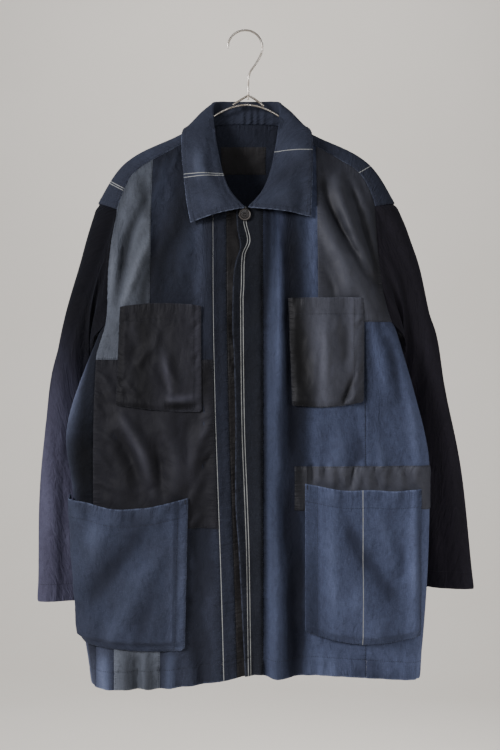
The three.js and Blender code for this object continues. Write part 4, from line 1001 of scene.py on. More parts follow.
for side in sides:
    turn = (math.pi * np.arange(2 * sleeve["halfTurns"]) / sleeve["halfTurns"])[:, None]
    share = spread(sleeve["long"], sleeve["pitch"], None, cuffDepth)[None, :]
    shift = armhole(side) - tubePoint(side, turn, 0 * share[:, :1])
    points = tubePoint(side, turn, share) + shift * (1 - ease(share, 0, sleeve["blend"]))[..., None]
    puff = ease(share, 0, 0.1) * (1 - ease(share, 0.15, 0.5))
    points[..., 0] += side * sleeve["puff"] * puff * (1 - np.cos(turn)) / 2
    points[..., 0] -= side * sleeve["tuck"] * (1 - ease(share, 0, 0.02))  # the seam edge lies under the body panels
    around = np.degrees(turn)
    if side < 0:  # so that its face looks out
        points, around = points[::-1], around[::-1]
    high = creaseHeight(around, 100 * share, sleeve["creases"][side])
    high = high + unevenness(around, 100 * share, sleeve["ripples"])
    high = high * ease(share, 0, 0.05) + sleeve["stand"] * ease(share, 0, 0.03)
    points = points + gridNormals(points, True) * high[..., None]
    sheet = dress(points, closed=True, pucker=[("top", 1.2, 15, 18, 8), ("low", 1.0, 11, 12, 6)], worn=["top"],
                  sewn=[("top", cuffDepth)], rise=high - sleeve["stand"],
                  toneAndShade=lerp(*sleeve["toneAndShade"][side], ease(share, *sleeve["shadeReach"][side])))
    clothPiece("sleeve_" + sideName[side], sheet, sleeve["finish"][side])
print("shoulders and sleeves made")

# collar: stand, rolled fold and fall in one sheet
collar = {
    # lines from the back centre to the front: x, y and drop
    "fold": [
        (0, 14, 101.5), (24, 13.5, 101.5), (40, 10, 102), (48, 1, 106), (48, -8, 126), (45.5, -18, 152),
        (41, -31, 182), (35, -45, 212), (25, -58, 239), (10, -68, 260), (2, -71, 268)],
    "fall": {
        -1: [(0, 28, 168), (40, 27, 166), (72, 23, 158), (91, 8, 144), (95, -17, 152), (95, -34, 176),
             (92, -48, 215), (87, -60, 255), (80, -71, 291)],
        1: [(0, 28, 168), (40, 27, 166), (72, 23, 158), (91, 8, 144), (96, -17, 152), (97, -34, 176),
            (96, -47, 212), (95, -57, 245), (93, -67, 282)]},
    "foldRadius": 3.5, "swell": 7, "pitch": 2.0, "long": 500, "deep": 66, "sewn": 7,
    # seat of the stand in the neck
    "neckGap": 1.6, "backShare": 0.3, "sideShare": 0.5, "sweep": 1.47, "cornerGap": 4, "lean": 1.5, "frontGap": 2.6,
    "backSeat": 0.9, "sideSeat": 1, "frontSeat": 0.6,
    "stand": np.linspace(0, 0.94, 16), "roll": np.linspace(-90, 90, 11),
    "stripes": {-1: [((-91, 218.5), (-31, 217.7)), ((-91, 223.6), (-31, 220.2))], 1: [((37, 184.2), (97, 180.9))]},
    "relief": 1.7, "standRelief": 0.65, "ripples": [(0.5, 24, 4, 1)],
    # gathers of the stand at the back of the neck: half width, height, then x and percent up the stand
    "gathers": [
        (2.6, 2.2, (-6, -60), (-5, 92)), (2.2, -1.6, (-1, -60), (0, 84)), (2.6, 2.4, (4.5, -60), (6, 96)),
        (2.4, -1.8, (10, -60), (10, 84)), (2.6, 2.2, (15, -60), (14, 90)), (2.6, 2, (24, -60), (26, 80)),
        (2.4, -1.4, (19.5, -60), (20, 76)), (2.6, 1.4, (-22, -60), (-20, 70)), (2.6, 1.2, (38, -60), (40, 70)),
    ],
    # creases of the fall: half width, height, then percent from the back to the point, percent from fold to edge
    "creases": {-1: [
        (6, 2.2, (84, 8), (78, 40), (74, 70)), (8, 2, (62, 20), (70, 60), (72, 100)), (7, -1.6, (78, 10), (82, 60)),
        (7, 1.6, (90, 20), (94, 70)),
    ], 1: [
        (8, 2, (60, 15), (66, 60), (70, 100)), (7, -1.8, (72, 5), (78, 50)), (7, 1.6, (88, 25), (92, 80)),
    ]},
    # painted shade and light on the fall: half width, strength, then x and drop
    "paintedShade": [
        (9, -0.2, (64, 190), (64, 240), (62, 290)), (9, 0.3, (84, 215), (86, 255), (86, 310)),
        (10, 0.25, (38, 130), (42, 164), (46, 195)), (14, 0.2, (-62, 140), (-64, 185), (-68, 230)),
        (16, 0.14, (-95, 262), (-60, 258), (-20, 254)),
    ],
    "standShade": (0.33, 0.42),  # painted shade inside the stand: at -X and at +X
    "finish": finishOf("collarBlue", "blue_cotton", 1.6, (0.52, 0.12), 0.0428, "shoulder_right", "shoulder_left"),
}


def neckLoop(share):  # where the stand is sewn on, from the back centre round to the front
    half, top = body["neckHalf"] - collar["neckGap"], body["neckSide"]
    backShare, sideShare = collar["backShare"], collar["sideShare"]
    x = lerp(0, half - collar["cornerGap"], np.clip(share / backShare, 0, 1))
    onBack = bodyPoint(section(1, backTop(x))["girth"] - x, backTop(x)) + [0, 0, collar["backSeat"]]
    v = lerp(1, -1, np.clip((share - backShare) / (sideShare - backShare), 0, 1))
    angle = (1 - np.abs(v)) * math.pi / 2
    foot = np.where(v < 0, bodyPoint(girthAt(section(1, top), half), top)[1], backFoot(1, half)[1])
    crown = body["shoulder"](body["neckHalf"]) - collar["cornerGap"]
    height = lerp(top - collar["sideSeat"], crown, np.sin(angle))
    onShoulder = np.stack([half - collar["lean"] * np.abs(v) * (v > 0), foot * np.cos(angle), -height], -1)
    sweep = lerp(0, collar["sweep"], np.clip((share - sideShare) / (1 - sideShare), 0, 1))
    drop = top + (body["neckFront"] - top - collar["frontGap"]) * np.sin(sweep)
    onFront = bodyPoint(girthAt(section(1, drop), half * np.cos(sweep)), drop) + [0, collar["frontSeat"], 0]
    onFront = np.where((share < sideShare)[..., None], onShoulder, onFront)
    return np.where((share < backShare)[..., None], onBack, onFront)


def collarHalf(side, share):  # lines from the seam up the stand, over the fold and down to the free edge
    def along(line, share):
        return softLine([(x, y, -drop) for x, y, drop in line], share)
    low, crest, edge = neckLoop(share), along(collar["fold"], share), along(collar["fall"][side], share)
    up = unit(crest - (low + edge) / 2)
    out = edge - low
    out = unit(out - up * np.sum(out * up, -1, keepdims=True))

    def rolled(degrees):
        angle, radius = math.radians(degrees), collar["foldRadius"]
        return crest + up * radius * (math.cos(angle) - 1) + out * radius * math.sin(angle)
    run = along(collar["fold"], np.minimum(share + 0.02, 1)) - along(collar["fold"], np.maximum(share - 0.02, 0))
    swell = unit(np.cross(run, edge - rolled(90))) * collar["swell"]
    facing = np.sum(swell * (edge - low + [0, 0, 40]), -1)
    swell = np.where((facing < 0)[..., None], -swell, swell)
    fall = spread(collar["deep"], collar["pitch"])[1:]
    lines = [lerp(low, rolled(-90), t) for t in collar["stand"]] + [rolled(degrees) for degrees in collar["roll"]]
    lines += [lerp(rolled(90), edge, t) + swell * math.sin(math.pi * t) for t in fall]
    points = np.stack(lines, 1)
    a = 100 * share[:, None]
    down = np.concatenate([np.zeros(len(lines) - len(fall)), 100 * fall])[None, :]
    uneven = unevenness(a * side, down, collar["ripples"]) * ease(share[:, None], 0.5, 0.65)
    high = (collar["relief"] * creaseHeight(a, down, collar["creases"][side]) + uneven) * (down > 0)
    standUp = np.full(len(lines), 200.0)  # past its top outside the stand
    standUp[:len(collar["stand"])] = 100 * collar["stand"]
    high = high + collar["standRelief"] * creaseHeight(side * points[..., 0], standUp[None, :], collar["gathers"])
    points[..., 0] *= side
    return points, high


share = spread(collar["long"] / 2, collar["pitch"])
share = share[np.concatenate([[True], share[1:] > 1.5 / (collar["long"] / 2)])]  # no close rows at the back centre
halves = {side: collarHalf(side, share) for side in sides}
points, high = (np.concatenate([halves[-1][n][:0:-1], halves[1][n]]) for n in range(2))
points = points + gridNormals(points) * high[..., None]
freeEdges = ("top", "left", "right")
sheet = dress(points, roll=0.8, rise=high, worn=freeEdges, sewn=[(edge, collar["sewn"]) for edge in freeEdges],
              pucker=[("top", 1.5, 7.5, 5, 4), ("left", 1.3, 7.5, 5, 4), ("right", 1.3, 7.5, 5, 4)])
x, y, drop = sheet["points"][..., 0], sheet["points"][..., 1], -sheet["points"][..., 2]
onFall = np.arange(points.shape[1])[None, :] >= len(collar["stand"]) + 4
standShade = lerp(*collar["standShade"], ease(x, -50, 0))
sheet["marks"]["toneAndShade"] = np.where(onFall, withPaintedShade(0.5, x, drop, collar["paintedShade"]), standShade)
sheet["stripes"] = [np.full(x.shape, far), np.full(x.shape, far)]
for side, lines in collar["stripes"].items():
    for count, ((x0, drop0), (x1, drop1)) in enumerate(lines):
        away = drop - lerp(drop0, drop1, (x - x0) / (x1 - x0))
        here = onFall & (x * side > 22) & (y < 2)  # the front of the fall
        sheet["stripes"][count] = np.where(here, away, sheet["stripes"][count])
clothPiece("collar", sheet, collar["finish"])
print("collar made")

# pockets: open bags sewn on along the sides and the bottom, with a folded side
# corners: x and drop; gusset: width of the folded side near the opening, outer and low; round: lower corners
# creases, painted shade and light, mouth: half width, height or strength, then percent from the opening outward and
# percent up
pockets = {
    "pocket_chest_right": {
        "topOut": (-180, 412), "topIn": (-64, 411), "lowOut": (-185, 552), "lowIn": (-62.5, 561), "size": (122, 150),
        "wrap": 0, "stand": 5, "sag": -4, "belly": 3, "gusset": (10, 7, 4), "toneAndShade": 0.48, "ridge": 0.5, "hem": 24,
        "round": (5, 5), "mouth": [],
        "creases": [
            (5, 2, (50, 76), (53, 64), (55, 52)), (7, -1.8, (72, 66), (80, 52), (90, 40)),
            (5, 1.8, (60, 60), (68, 50), (76, 40)), (4.5, 2.2, (43, 50), (36, 34), (22, 19)),
            (5, -2.2, (52, 44), (46, 30), (36, 16)), (3, 2.4, (40, 10), (20, 9), (2, 10)),
            (3, -2.4, (42, 4), (20, 3), (2, 4)), (4, 1.8, (90, 26), (80, 16), (70, 12)), (2.5, 1.3, (2, 90), (12, 82)),
            (2.5, -1.2, (2, 84), (12, 76)), (2.5, 1.3, (2, 74), (11, 66)), (2.5, 1.3, (2, 60), (11, 52)),
            (2.5, -1.2, (2, 54), (10, 46)), (2.5, 1.2, (2, 44), (10, 36)), (2.5, 1.3, (98, 94), (89, 86)),
            (2.5, 1.2, (98, 74), (90, 68)), (2.5, 1.3, (98, 34), (90, 26)), (2.5, -1.2, (98, 28), (90, 20)),
            (2.5, 1.3, (98, 20), (90, 12)),
        ],
        "paintedShade": [
            (10, -0.9, (70, 150), (69, 60), (70, -50)), (9, -0.4, (96, 150), (94, -50)),
            (12, 0.4, (42, 80), (44, 40), (44, -40)), (9, 0.5, (20, 150), (20, 50), (22, -50)),
            (7, 1.3, (4, 150), (4, 50), (4, -50)), (4, 0.8, (48, 60), (41, 38), (36, 14), (34, 4)),
            (4, -0.6, (34, 56), (30, 34), (26, 16)), (3, -1, (46, 5), (28, 5), (8, 7)),
            (3, 0.8, (44, 11), (24, 12), (4, 15)), (4, 0.5, (84, 82), (76, 62), (72, 46)),
        ],
        "finish": finishOf("nylonInShade", "dark_nylon", 0.9, (0.135, 0.165), 0.0186, "front_right")},
    "pocket_chest_left": {
        "topOut": (168, 399), "topIn": (59, 400), "lowOut": (166, 547), "lowIn": (64, 552), "size": (108, 150),
        "wrap": 0, "stand": 5, "sag": 0, "belly": 5, "gusset": (5, 14, 4), "toneAndShade": 0.43, "ridge": 0.5, "hem": 24,
        "round": (3, 5), "mouth": [],
        "creases": [
            (9, -2.6, (16, 82), (15, 50), (20, 10)), (5, 2.1, (45, 80), (48, 48), (45, 10)),
            (4, 1.4, (32, 60), (33, 36), (30, 12)), (8, -2.4, (70, 74), (75, 52), (68, 32)),
            (4, 2.2, (96, 46), (90, 26), (76, 6)), (4, -2, (86, 30), (78, 14), (68, 2)),
            (3.5, 1.6, (60, 66), (64, 84)), (4, 3, (74, -4), (86, 8), (101, 22)),
            (4, -2.4, (66, -2), (78, 12), (90, 30)), (2.5, 1.3, (98, 86), (89, 76)), (2.5, -1.2, (98, 78), (89, 70)),
            (2.5, 1.3, (98, 68), (90, 60)),
        ],
        "paintedShade": [
            (13, -2.1, (2, 150), (5, 60), (9, 20), (11, -50)), (9, -0.8, (20, 70), (26, 30), (28, -40)),
            (8, 0.6, (47, 150), (47, 50), (46, -50)), (9, 0.8, (86, 150), (86, 60), (84, 20)),
            (9, -1.1, (10, 150), (12, 60), (15, 20), (16, -50)), (7, 0.6, (34, 140), (35, 60), (36, -50)),
        ],
        "finish": finishOf("nylonInLight", "dark_nylon", 0.9, (0.125, 0.165), 0.0168, "front_left_inner")},
    "pocket_hip_right": {
        "topOut": (-236, 678), "topIn": (-81, 681), "lowOut": (-222, 884), "lowIn": (-85.5, 894), "size": (165, 215),
        "wrap": 22, "stand": 14, "sag": 16, "belly": 7, "gusset": (14, 10, 11), "toneAndShade": 0.5, "ridge": 0.9, "hem": 25,
        "round": (8, 26),
        "mouth": [(18, 2, (58, 70), (58, 135)), (7, 0.8, (30, 80), (30, 130)), (6, -0.8, (76, 80), (76, 130))],
        "creases": [
            (9, 2.4, (68, 104), (75, 71), (87, 48)), (8, -2.8, (28, 92), (51, 69), (68, 50), (90, 22)),
            (10, 2.4, (12, 76), (36, 50), (53, 29), (66, 2)), (7, -2.4, (14, 62), (32, 30), (38, 2)),
            (5, 1.6, (88, 40), (80, 18), (84, 0)), (6, 1.6, (60, 22), (64, 0)), (5, 1.4, (44, 16), (46, 0)),
            (6, 2, (30, 104), (34, 88)), (6, -2, (42, 104), (44, 86)), (6, 2, (56, 104), (58, 86)),
            (6, -1.6, (68, 104), (70, 88)), (4, 1.6, (20, 100), (26, 84)), (4, -1.4, (80, 100), (78, 84)),
            (4, 1.5, (88, 100), (84, 82)),
        ],
        "paintedShade": [
            (10, 0.3, (68, 130), (75, 71), (90, 42)), (9, -0.25, (24, 100), (51, 69), (68, 50), (94, 16)),
            (11, 0.15, (8, 80), (36, 50), (53, 29), (68, -10)), (7, 1.1, (4, 110), (5, 40), (5, -40)),
        ],
        "finish": finishOf("pocketBlueAndShade", "blue_cotton", 0.9, (0.20, 0.24), 0.0402, "front_right")},
    "pocket_hip_left": {
        "topOut": (247, 670), "topIn": (82, 661), "lowOut": (245, 877), "lowIn": (82, 868), "size": (160, 215),
        "wrap": 0, "stand": 14, "sag": 5, "belly": 15, "gusset": (17, 7, 8), "toneAndShade": 0.6, "ridge": 0.9, "hem": 25,
        "round": (3, 4), "stripe": 163,
        "mouth": [(16, 2.4, (30, 70), (30, 135)), (10, -1, (54, 70), (54, 135)), (8, 1, (76, 80), (76, 130))],
        "creases": [
            (8, 2.2, (22, 100), (22, 50), (24, -4)), (7, -2.6, (28, 96), (41, 66), (60, 46), (82, 22)),
            (11, 2, (46, 50), (40, 6)), (7, 2.2, (92, 96), (92, 50), (90, 4)), (8, 2, (62, 22), (60, 0)),
            (7, -2, (80, 70), (84, 40)), (7, 2, (60, 88), (72, 60), (78, 44)), (6, -1.6, (44, 26), (48, 4)),
            (6, 1.8, (22, 104), (26, 90)), (5, 1.4, (74, 104), (76, 92)),
        ],
        "paintedShade": [
            (9, 0.25, (22, 130), (22, 50), (23, -30)), (8, 0.5, (93, 140), (92, 50), (91, -40)),
            (8, -0.25, (24, 104), (41, 66), (60, 46), (86, 16)), (8, -0.5, (5, 60), (6, -40)),
            (12, 0.2, (46, 44), (40, -20)),
        ],
        "finish": finishOf("midBlue", "blue_cotton", 0.9, (0.19, 0.24), 0.0378, "front_left_inner")},
}
bag = {
    "lift": 2.6, "pitch": (2.5, 2.6), "relief": 1.5, "bridge": 0.6, "sideShade": 0.76, "foldShare": 0.55, "bulge": 0.2,
}


def folded(gap, width, ridge):  # rise of a bag from its sewn edge: the folded side, then a step up to the face
    rise = lerp(ease(gap, width - 0.5, width + 5), np.clip(gap / width, 0, 1) ** 0.8, bag["foldShare"])
    return rise, ridge * bell(gap - width - 2, 2.0)


for node, cut in pockets.items():
    side = -1 if cut["topIn"][0] < 0 else 1
    wide, tall = cut["size"]
    u, v = np.meshgrid(spread(wide, bag["pitch"][0]), spread(tall, bag["pitch"][1], None, cut["hem"]), indexing="ij")
    a = u if side > 0 else 1 - u  # 0 at the edge near the front opening, 1 at the outer edge
    fromIn, fromOut, fromLow = wide * a, wide * (1 - a), tall * v
    for gap, turn, radius in ((fromIn, 1, cut["round"][0]), (fromOut, -1, cut["round"][1])):  # rounded lower corners
        p, q = np.clip(1 - gap / radius, 0, 1), np.clip(1 - fromLow / radius, 0, 1)
        a = a + turn * radius * p * (1 - np.sqrt(1 - q * q / 2)) / wide
        v = v + radius * q * (1 - np.sqrt(1 - p * p / 2)) / tall
    (xIn, dropIn), (xOut, dropOut) = (
        [lerp(low, top, v) for low, top in zip(cut["low" + end], cut["top" + end])] for end in ("In", "Out"))
    drop = lerp(dropIn, dropOut, a) + np.sin(math.pi * a) * lerp(cut["belly"], cut["sag"], v)
    drop = drop + creaseHeight(100 * a, 100 * v, cut["mouth"])
    level = section(side, drop)
    girth = side * lerp(girthAt(level, np.abs(xIn)), girthAt(level, np.abs(xOut)) + cut["wrap"], a)
    calm = bodyPoint(girth, drop)
    points = lerp(creasedPoint(girth, drop)[0], calm, bag["bridge"])  # the bag bridges the smaller folds under it
    (inRise, inRidge), (outRise, outRidge), (lowRise, lowRidge) = (
        folded(gap, width, cut["ridge"]) for gap, width in zip((fromIn, fromOut, fromLow), cut["gusset"]))
    middle = np.sin(math.pi * a) * np.sin(math.pi * np.clip(0.1 + 0.8 * v, 0, 1))
    full = inRise * outRise * lowRise * lerp(1, middle, bag["bulge"])
    high = bag["relief"] * creaseHeight(100 * a, 100 * v, cut["creases"])
    high = high + unevenness(100 * a * side, 100 * v, [(0.5, 26, len(node), 1), (0.25, 11, 31, 1)])
    ridges = (inRidge + outRidge) * lowRise + lowRidge
    lift = bag["lift"] + cut["stand"] * full + high * np.clip(2.5 * full, 0, 1) + ridges
    points = points + gridNormals(calm) * lift[..., None]
    shade = lerp(bag["sideShade"], 1, ease(np.minimum(inRise, outRise), 0.5, 0.8))  # painted shade: the folded sides are darker
    gathers = [("low", 0.9, 10, 6, 3), ("left", 0.5, 10, 5, 2), ("right", 0.5, 10, 5, 2), ("top", 1.0, 19, 16, 4)]
    sheet = dress(points, roll=0.6, rise=high, toneAndShade=withPaintedShade(cut["toneAndShade"] * shade, 100 * a, 100 * v, cut["paintedShade"]),
                  sewn=[("top", cut["hem"])], worn=["top", "left", "right", "low"],
                  pucker=gathers + [("top", 0.8, 7.5, 6, cut["hem"])])
    if "stripe" in cut:
        sheet["stripes"] = [sheet["points"][..., 0] - cut["stripe"]]
    clothPiece(node, sheet, cut["finish"])
print("pockets made")

# sewing: short threads along hems and seams
thread = {"pitch": 3.3, "long": 2.5, "half": 0.28, "sink": 0.05, "lift": 0.18, "tip": 0.45}
threadMaterial, tree, shader, spot, uneven = noiseMaterial("sewing thread", 260.0, 2.0)
feed(tree, shader, Roughness=0.7,
     Base_Color=blendColour(tree, ramp(tree, uneven, 0.35, 0.65), tint(24, 26, 32), tint(44, 48, 58)))


def rows(depth, edges):  # lines of sewing at one depth
    return [(node, edge, depth) for node, names in edges.items() for edge in names.split()]


frontHems = ("front_right", "band_right", "placket", "front_left_inner", "front_left_outer", "patch_grey_hem")
seams = {
    "stitching_fronts": rows(hemDepth, {node: "low" for node in frontHems})
    + rows(2.0, {"placket": "left"}) + rows(1.6, {
        "placket": "right", "front_left_inner": "right", "band_right": "right", "patch_grey_chest": "right low",
        "patch_nylon_waist": "left right low top", "patch_grey_hem": "left right", "patch_nylon_chest": "left low",
        "patch_nylon_strip": "top left low"}),
    "stitching_back": rows(hemDepth, {"back": "low", "side_right": "low", "side_left": "low"})
    + rows(1.8, {"back": "left right"}) + rows(1.5, {"neck_patch": "low top left right"})
    + rows(cuffDepth, {"sleeve_right": "top", "sleeve_left": "top"}),
    "stitching_collar": rows(1.8, {"collar": "top left right"})
    + rows(1.6, {"shoulder_right": "low top left", "shoulder_left": "low top right"})
    + rows(7, {"collar": "top left right", "shoulder_right": "low left", "shoulder_left": "low right"}),
    "stitching_pockets": rows(1.8, {node: "low left right" for node in pockets})
    + [(node, "top", cut["hem"]) for node, cut in pockets.items()]
    + rows(16, {"pocket_hip_right": "right", "pocket_chest_left": "right"}) + rows(19, {"pocket_hip_left": "left"})
    + rows(12, {"pocket_hip_right": "left", "pocket_chest_right": "right"}) + rows(9, {"pocket_hip_left": "right"}),
}
# faces of one thread, three rings of four corners
threadFaces = [[ring + k, ring + (k + 1) % 4, ring + 4 + (k + 1) % 4, ring + 4 + k]
               for ring in (0, 4) for k in range(4)] + [[3, 2, 1, 0], [8, 9, 10, 11]]


def stitches(node, edge, depth):
    path, tips = inset(sheets[node], edge, depth)
    if sheets[node]["closed"]:
        path, tips = np.vstack([path, path[:1]]), np.vstack([tips, tips[:1]])
    run = runLength(path)
    middle = np.arange(thread["pitch"], run[-1] - thread["pitch"] / 2, thread["pitch"])
    front, back = (alongRun(middle + end * thread["long"] / 2, run, path) for end in (1, -1))
    up = unit(alongRun(middle, run, tips))
    across, rise, sink = np.cross(up, unit(front - back)) * thread["half"], up * thread["half"], up * thread["sink"]
    lifted = alongRun(middle, run, path) + up * thread["lift"]
    rings = [[centre + way * share for way in (across, rise, -across, -rise)]
             for centre, share in ((back - sink, thread["tip"]), (lifted, 1.0), (front - sink, thread["tip"]))]
    return np.array(rings).transpose(2, 0, 1, 3).reshape(-1, 12, 3)


def sewingPiece(name, corners, faces):
    piece = newMesh(name, corners, faces)
    piece.data.materials.append(threadMaterial)
    bpy.ops.object.mode_set(mode="EDIT")
    bpy.ops.mesh.select_all(action="SELECT")
    bpy.ops.mesh.normals_make_consistent(inside=False)
    bpy.ops.object.mode_set(mode="OBJECT")
    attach(piece, "root")


for name, lines in seams.items():
    corners = np.concatenate([stitches(*line) for line in lines])
    faces = 12 * np.arange(len(corners))[:, None, None] + np.array(threadFaces)
    sewingPiece(name, corners, faces.reshape(-1, 4).tolist())

# bar tacks at the mouths of the hip pockets: close threads across the corner
tack = {"inset": 4.5, "first": 1.8, "last": 8.0, "pitch": 0.8, "reach": 1.0, "half": 0.3, "crest": 0.18, "high": 0.5}
tackFaces = ((0, 1, 5, 4), (1, 2, 5), (2, 3, 4, 5), (3, 0, 4), (3, 2, 1, 0))
corners, faces = [], []
for node, edge in ((node, edge) for node in ("pocket_hip_right", "pocket_hip_left") for edge in ("left", "right")):
    path, tips = inset(sheets[node], edge, tack["inset"])
    run, way = runLength(path), unit(path[-6] - path[-1])
    for step in np.arange(tack["first"], tack["last"], tack["pitch"]):
        spot, up = (alongRun(run[-1] - step, run, values) for values in (path, tips))
        across, down, crest = unit(np.cross(up, way)) * tack["reach"], way * tack["half"], way * tack["crest"]
        faces += [[len(corners) + k for k in face] for face in tackFaces]
        corners += [spot - across - down, spot - across + down, spot + across + down, spot + across - down,
                    spot - crest + up * tack["high"], spot + crest + up * tack["high"]]
sewingPiece("bar_tacks", corners, faces)
print("sewing made")


# hard pieces

def chooseNothing():  # nothing of the active mesh stays chosen
    bpy.ops.object.mode_set(mode="EDIT")
    bpy.ops.mesh.select_all(action="DESELECT")
    bpy.ops.object.mode_set(mode="OBJECT")


# button: horn with a sunk middle and four holes
button = {
    "radius": 9, "thick": 3.2, "sink": 1.0, "rim": 2.6, "step": 0.6, "edge": 0.7, "hole": 1.0, "spread": 2.1,
    "lean": -0.13, "ring": 0.0076, "ringHalf": 0.0009,  # pale ring on its face, in metres
}
low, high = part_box("button")
centre = (low + high) / 2
bpy.ops.object.select_all(action="DESELECT")
bpy.ops.mesh.primitive_cylinder_add(vertices=56, radius=button["radius"] * mm, depth=button["thick"] * mm)
disc = bpy.context.object
disc.name = "button_horn"
chooseNothing()
for face in disc.data.polygons:
    face.select = face.normal.z > 0.9
bpy.ops.object.mode_set(mode="EDIT")
bpy.ops.mesh.inset(thickness=button["rim"] * mm)
bpy.ops.transform.translate(value=(0, 0, -button["sink"] * mm))
bpy.ops.mesh.bevel(offset=button["step"] * mm, segments=3)
bpy.ops.object.mode_set(mode="OBJECT")
rim = disc.modifiers.new("rim", "BEVEL")
rim.width, rim.segments, rim.limit_method, rim.angle_limit = button["edge"] * mm, 4, "ANGLE", math.radians(40)
bpy.ops.object.modifier_apply(modifier="rim")
for k in range(4):
    angle, reach = math.pi * (0.25 + k / 2), button["spread"] * mm
    bpy.ops.mesh.primitive_cylinder_add(vertices=20, radius=button["hole"] * mm, depth=10 * mm, location=(
        reach * math.cos(angle), reach * math.sin(angle), 0))
    drill = bpy.context.object
    bpy.context.view_layer.objects.active = disc
    hole = disc.modifiers.new("hole", "BOOLEAN")
    hole.operation, hole.object, hole.solver = "DIFFERENCE", drill, "EXACT"
    bpy.ops.object.modifier_apply(modifier="hole")
    bpy.data.objects.remove(drill)
chooseOnly(disc)
disc.rotation_euler = (math.pi / 2 + button["lean"], 0, 0)
disc.location = centre
bpy.ops.object.transform_apply(location=True, rotation=True, scale=True)
bpy.ops.object.shade_smooth_by_angle(angle=math.radians(35))
horn, tree, shader, spot, streak = noiseMaterial("dark horn", 420.0, 3.0, 0.6)
away = calc(tree, "LENGTH", calc(tree, "SUBTRACT", spot, centre, kind="VectorMath"), kind="VectorMath")
ring = ramp(tree, calc(tree, "ABSOLUTE", calc(tree, "SUBTRACT", away, button["ring"])), 0.0, button["ringHalf"], 1, 0)
shade = blendColour(tree, ramp(tree, streak, 0.35, 0.7), tint(28, 25, 24), tint(48, 42, 38))
feed(tree, shader, Base_Color=blendColour(tree, calc(tree, "MULTIPLY", ring, 0.8), shade, tint(128, 122, 116)),
     Roughness=ramp(tree, streak, 0.3, 0.7, 0.22, 0.38))
disc.data.materials.append(horn)
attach(disc, "root")
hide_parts("button")
print("button made")

# hanger: bent steel wire
hanger = {
    "wire": 1.6, "hookRadius": 24, "hookX": -2, "shankX": 2.7, "shankLow": 101, "braceSpread": 23, "braceGap": 0.3,
    # x and drop: from the hook to the end of the shank, and one half of the bow
    "neck": [(14, 48), (7, 58), (3.6, 66), (2.7, 74), (2.7, 88), (2.7, 101)],
    "bow": [(0, 109), (24, 113.5), (47, 125), (68, 140.5), (96, 157.4), (125, 170.5), (155, 184.5), (178, 200)],
}
steel, tree, shader, spot, stain = noiseMaterial("steel wire", 90.0, 4.0)
feed(tree, shader, Roughness=ramp(tree, stain, 0.3, 0.7, 0.22, 0.42), Metallic=1.0,
     Base_Color=blendColour(tree, ramp(tree, stain, 0.35, 0.7), tint(214, 208, 198), tint(170, 160, 146)))
reach = hanger["hookRadius"] + hanger["wire"]
hookPath = [(hanger["hookX"] + reach * math.cos(turn), hanger["hookRadius"] - reach * math.sin(turn))
            for turn in np.radians(np.arange(182, -21, -20))] + hanger["neck"]
bowPath = [(-x, drop) for x, drop in hanger["bow"][:0:-1]] + hanger["bow"]
wires = {"hanger_hook": [(hookPath, 120)], "hanger_bow": [(bowPath, 160)]}  # paths, then points along each
for side in sides:
    shank, low = hanger["shankX"], hanger["shankLow"]
    footX = shank + side * hanger["braceSpread"]
    footDrop = float(curve(*hanger["bow"])(abs(footX))) - 2 * hanger["wire"] - hanger["braceGap"]
    wires["hanger_hook"].append(([(shank, low - 6), (shank + side * 8, low - 1.5), (footX, footDrop)], 30))
for node, paths in wires.items():
    shape = bpy.data.curves.new(node + "_wire", "CURVE")
    shape.dimensions, shape.use_fill_caps = "3D", True
    shape.bevel_depth, shape.bevel_resolution = hanger["wire"] * mm, 4
    for path, steps in paths:
        points = softLine([(x, 0, -drop) for x, drop in path], np.linspace(0, 1, steps)) * mm
        line = shape.splines.new("POLY")
        line.points.add(len(points) - 1)
        line.points.foreach_set("co", np.pad(points, ((0, 0), (0, 1)), constant_values=1).ravel())
    wire = newObject(node + "_wire", shape)
    chooseOnly(wire)
    bpy.ops.object.convert(target="MESH")
    bpy.ops.object.shade_smooth_by_angle(angle=math.radians(40))
    wire.data.materials.append(steel)
    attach(wire, "root")
    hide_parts(node)
print("hanger made")

# floor that sweeps up into a backdrop far behind
stage = {"floor": -1.75, "back": 5.6, "size": 44.0, "rise": 12.0, "bend": 2.4, "near": 0.01}
bpy.ops.object.select_all(action="DESELECT")
bpy.ops.mesh.primitive_plane_add(size=stage["size"], location=(0, stage["back"] - stage["size"] / 2, stage["floor"]))
floor = bpy.context.object
floor.name = "floor"
bpy.ops.object.transform_apply(location=True, rotation=True, scale=True)


def chooseBackEdge(highest):  # edge of the floor at the back, up to that height
    chooseNothing()
    for vertex in floor.data.vertices:
        vertex.select = vertex.co.y > stage["back"] - stage["near"] and vertex.co.z < highest
    for edge in floor.data.edges:
        edge.select = all(floor.data.vertices[k].select for k in edge.vertices)
    bpy.ops.object.mode_set(mode="EDIT")


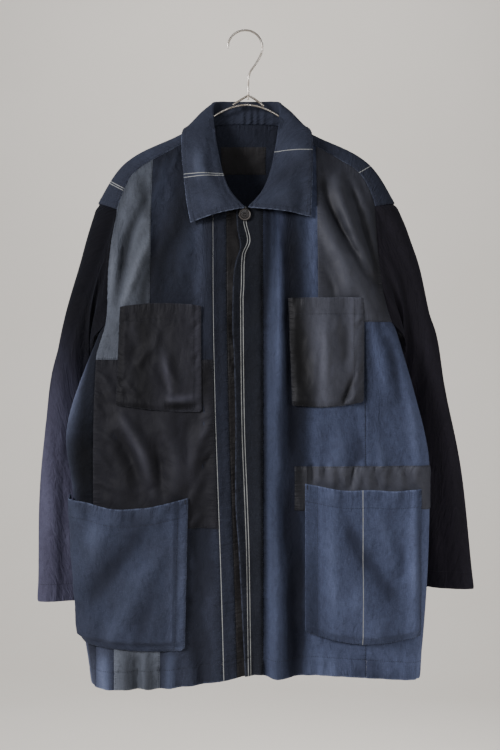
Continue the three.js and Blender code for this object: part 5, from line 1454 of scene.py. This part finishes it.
chooseBackEdge(stage["rise"])
bpy.ops.mesh.extrude_region_move(TRANSFORM_OT_translate={"value": (0, 0, stage["rise"])})
bpy.ops.object.mode_set(mode="OBJECT")
chooseBackEdge(stage["floor"] + stage["near"])
bpy.ops.mesh.bevel(offset=stage["bend"], segments=20)
bpy.ops.object.mode_set(mode="OBJECT")
bpy.ops.object.shade_smooth_by_angle(angle=math.radians(40))
paper, tree, shader, spot, cloud = noiseMaterial("pale paper", 1.2, 3.0)
feed(tree, shader, Base_Color=blendColour(tree, cloud, tint(206, 202, 196), tint(214, 211, 206)), Roughness=0.9)
floor.data.materials.append(paper)

# light: a soft key from the upper left, weak fills from the right and the front, one behind, one for the backdrop
lights = {
    "key": {"at": (-2.3, -1.7, 0.5), "aim": (0, 0, -0.5), "size": 0.9, "power": 70, "colour": (0.97, 0.955, 1.0)},
    "right": {"at": (2.7, -1.5, -0.3), "aim": (0, 0, -0.55), "size": 1.2, "power": 16, "colour": (1.0, 0.97, 0.97)},
    "front": {"at": (0.2, -3.2, 0.3), "aim": (0, 0, -0.35), "size": 0.9, "power": 10, "colour": (1.0, 0.97, 0.98)},
    "rear": {"at": (0.5, 2.6, 0.4), "aim": (0, 0, -0.5), "size": 1.4, "power": 45, "colour": (1.0, 0.99, 0.97)},
    "behind": {"at": (0, 2.2, 1.9), "aim": (0, 5.6, -0.4), "size": 2.4, "power": 170, "colour": (1.0, 0.975, 0.94)},
}
for name, lamp in lights.items():
    data = bpy.data.lights.new(name, "AREA")
    data.shape, data.size, data.energy, data.color = "SQUARE", lamp["size"], lamp["power"], lamp["colour"]
    made = newObject(name, data)
    made.location = lamp["at"]
    made.rotation_euler = (Vector(lamp["aim"]) - Vector(lamp["at"])).to_track_quat("-Z", "Y").to_euler()
world = bpy.data.worlds.new("surround")
bpy.context.scene.world = world
world.use_nodes = True
feed(world.node_tree, world.node_tree.nodes["Background"], Color=(0.88, 0.885, 0.94, 1), Strength=0.23)

# camera: level and straight on, at the middle of the jacket
view = {"at": (0.0052, -2.07, -0.5087), "lens": 67.13, "sensor": 36.0}
data = bpy.data.cameras.new("camera")
data.lens, data.sensor_width = view["lens"], view["sensor"]
camera = newObject("camera", data)
camera.location, camera.rotation_euler = view["at"], (math.pi / 2, 0, 0)
bpy.context.scene.camera = camera
print("stage, light and camera made")
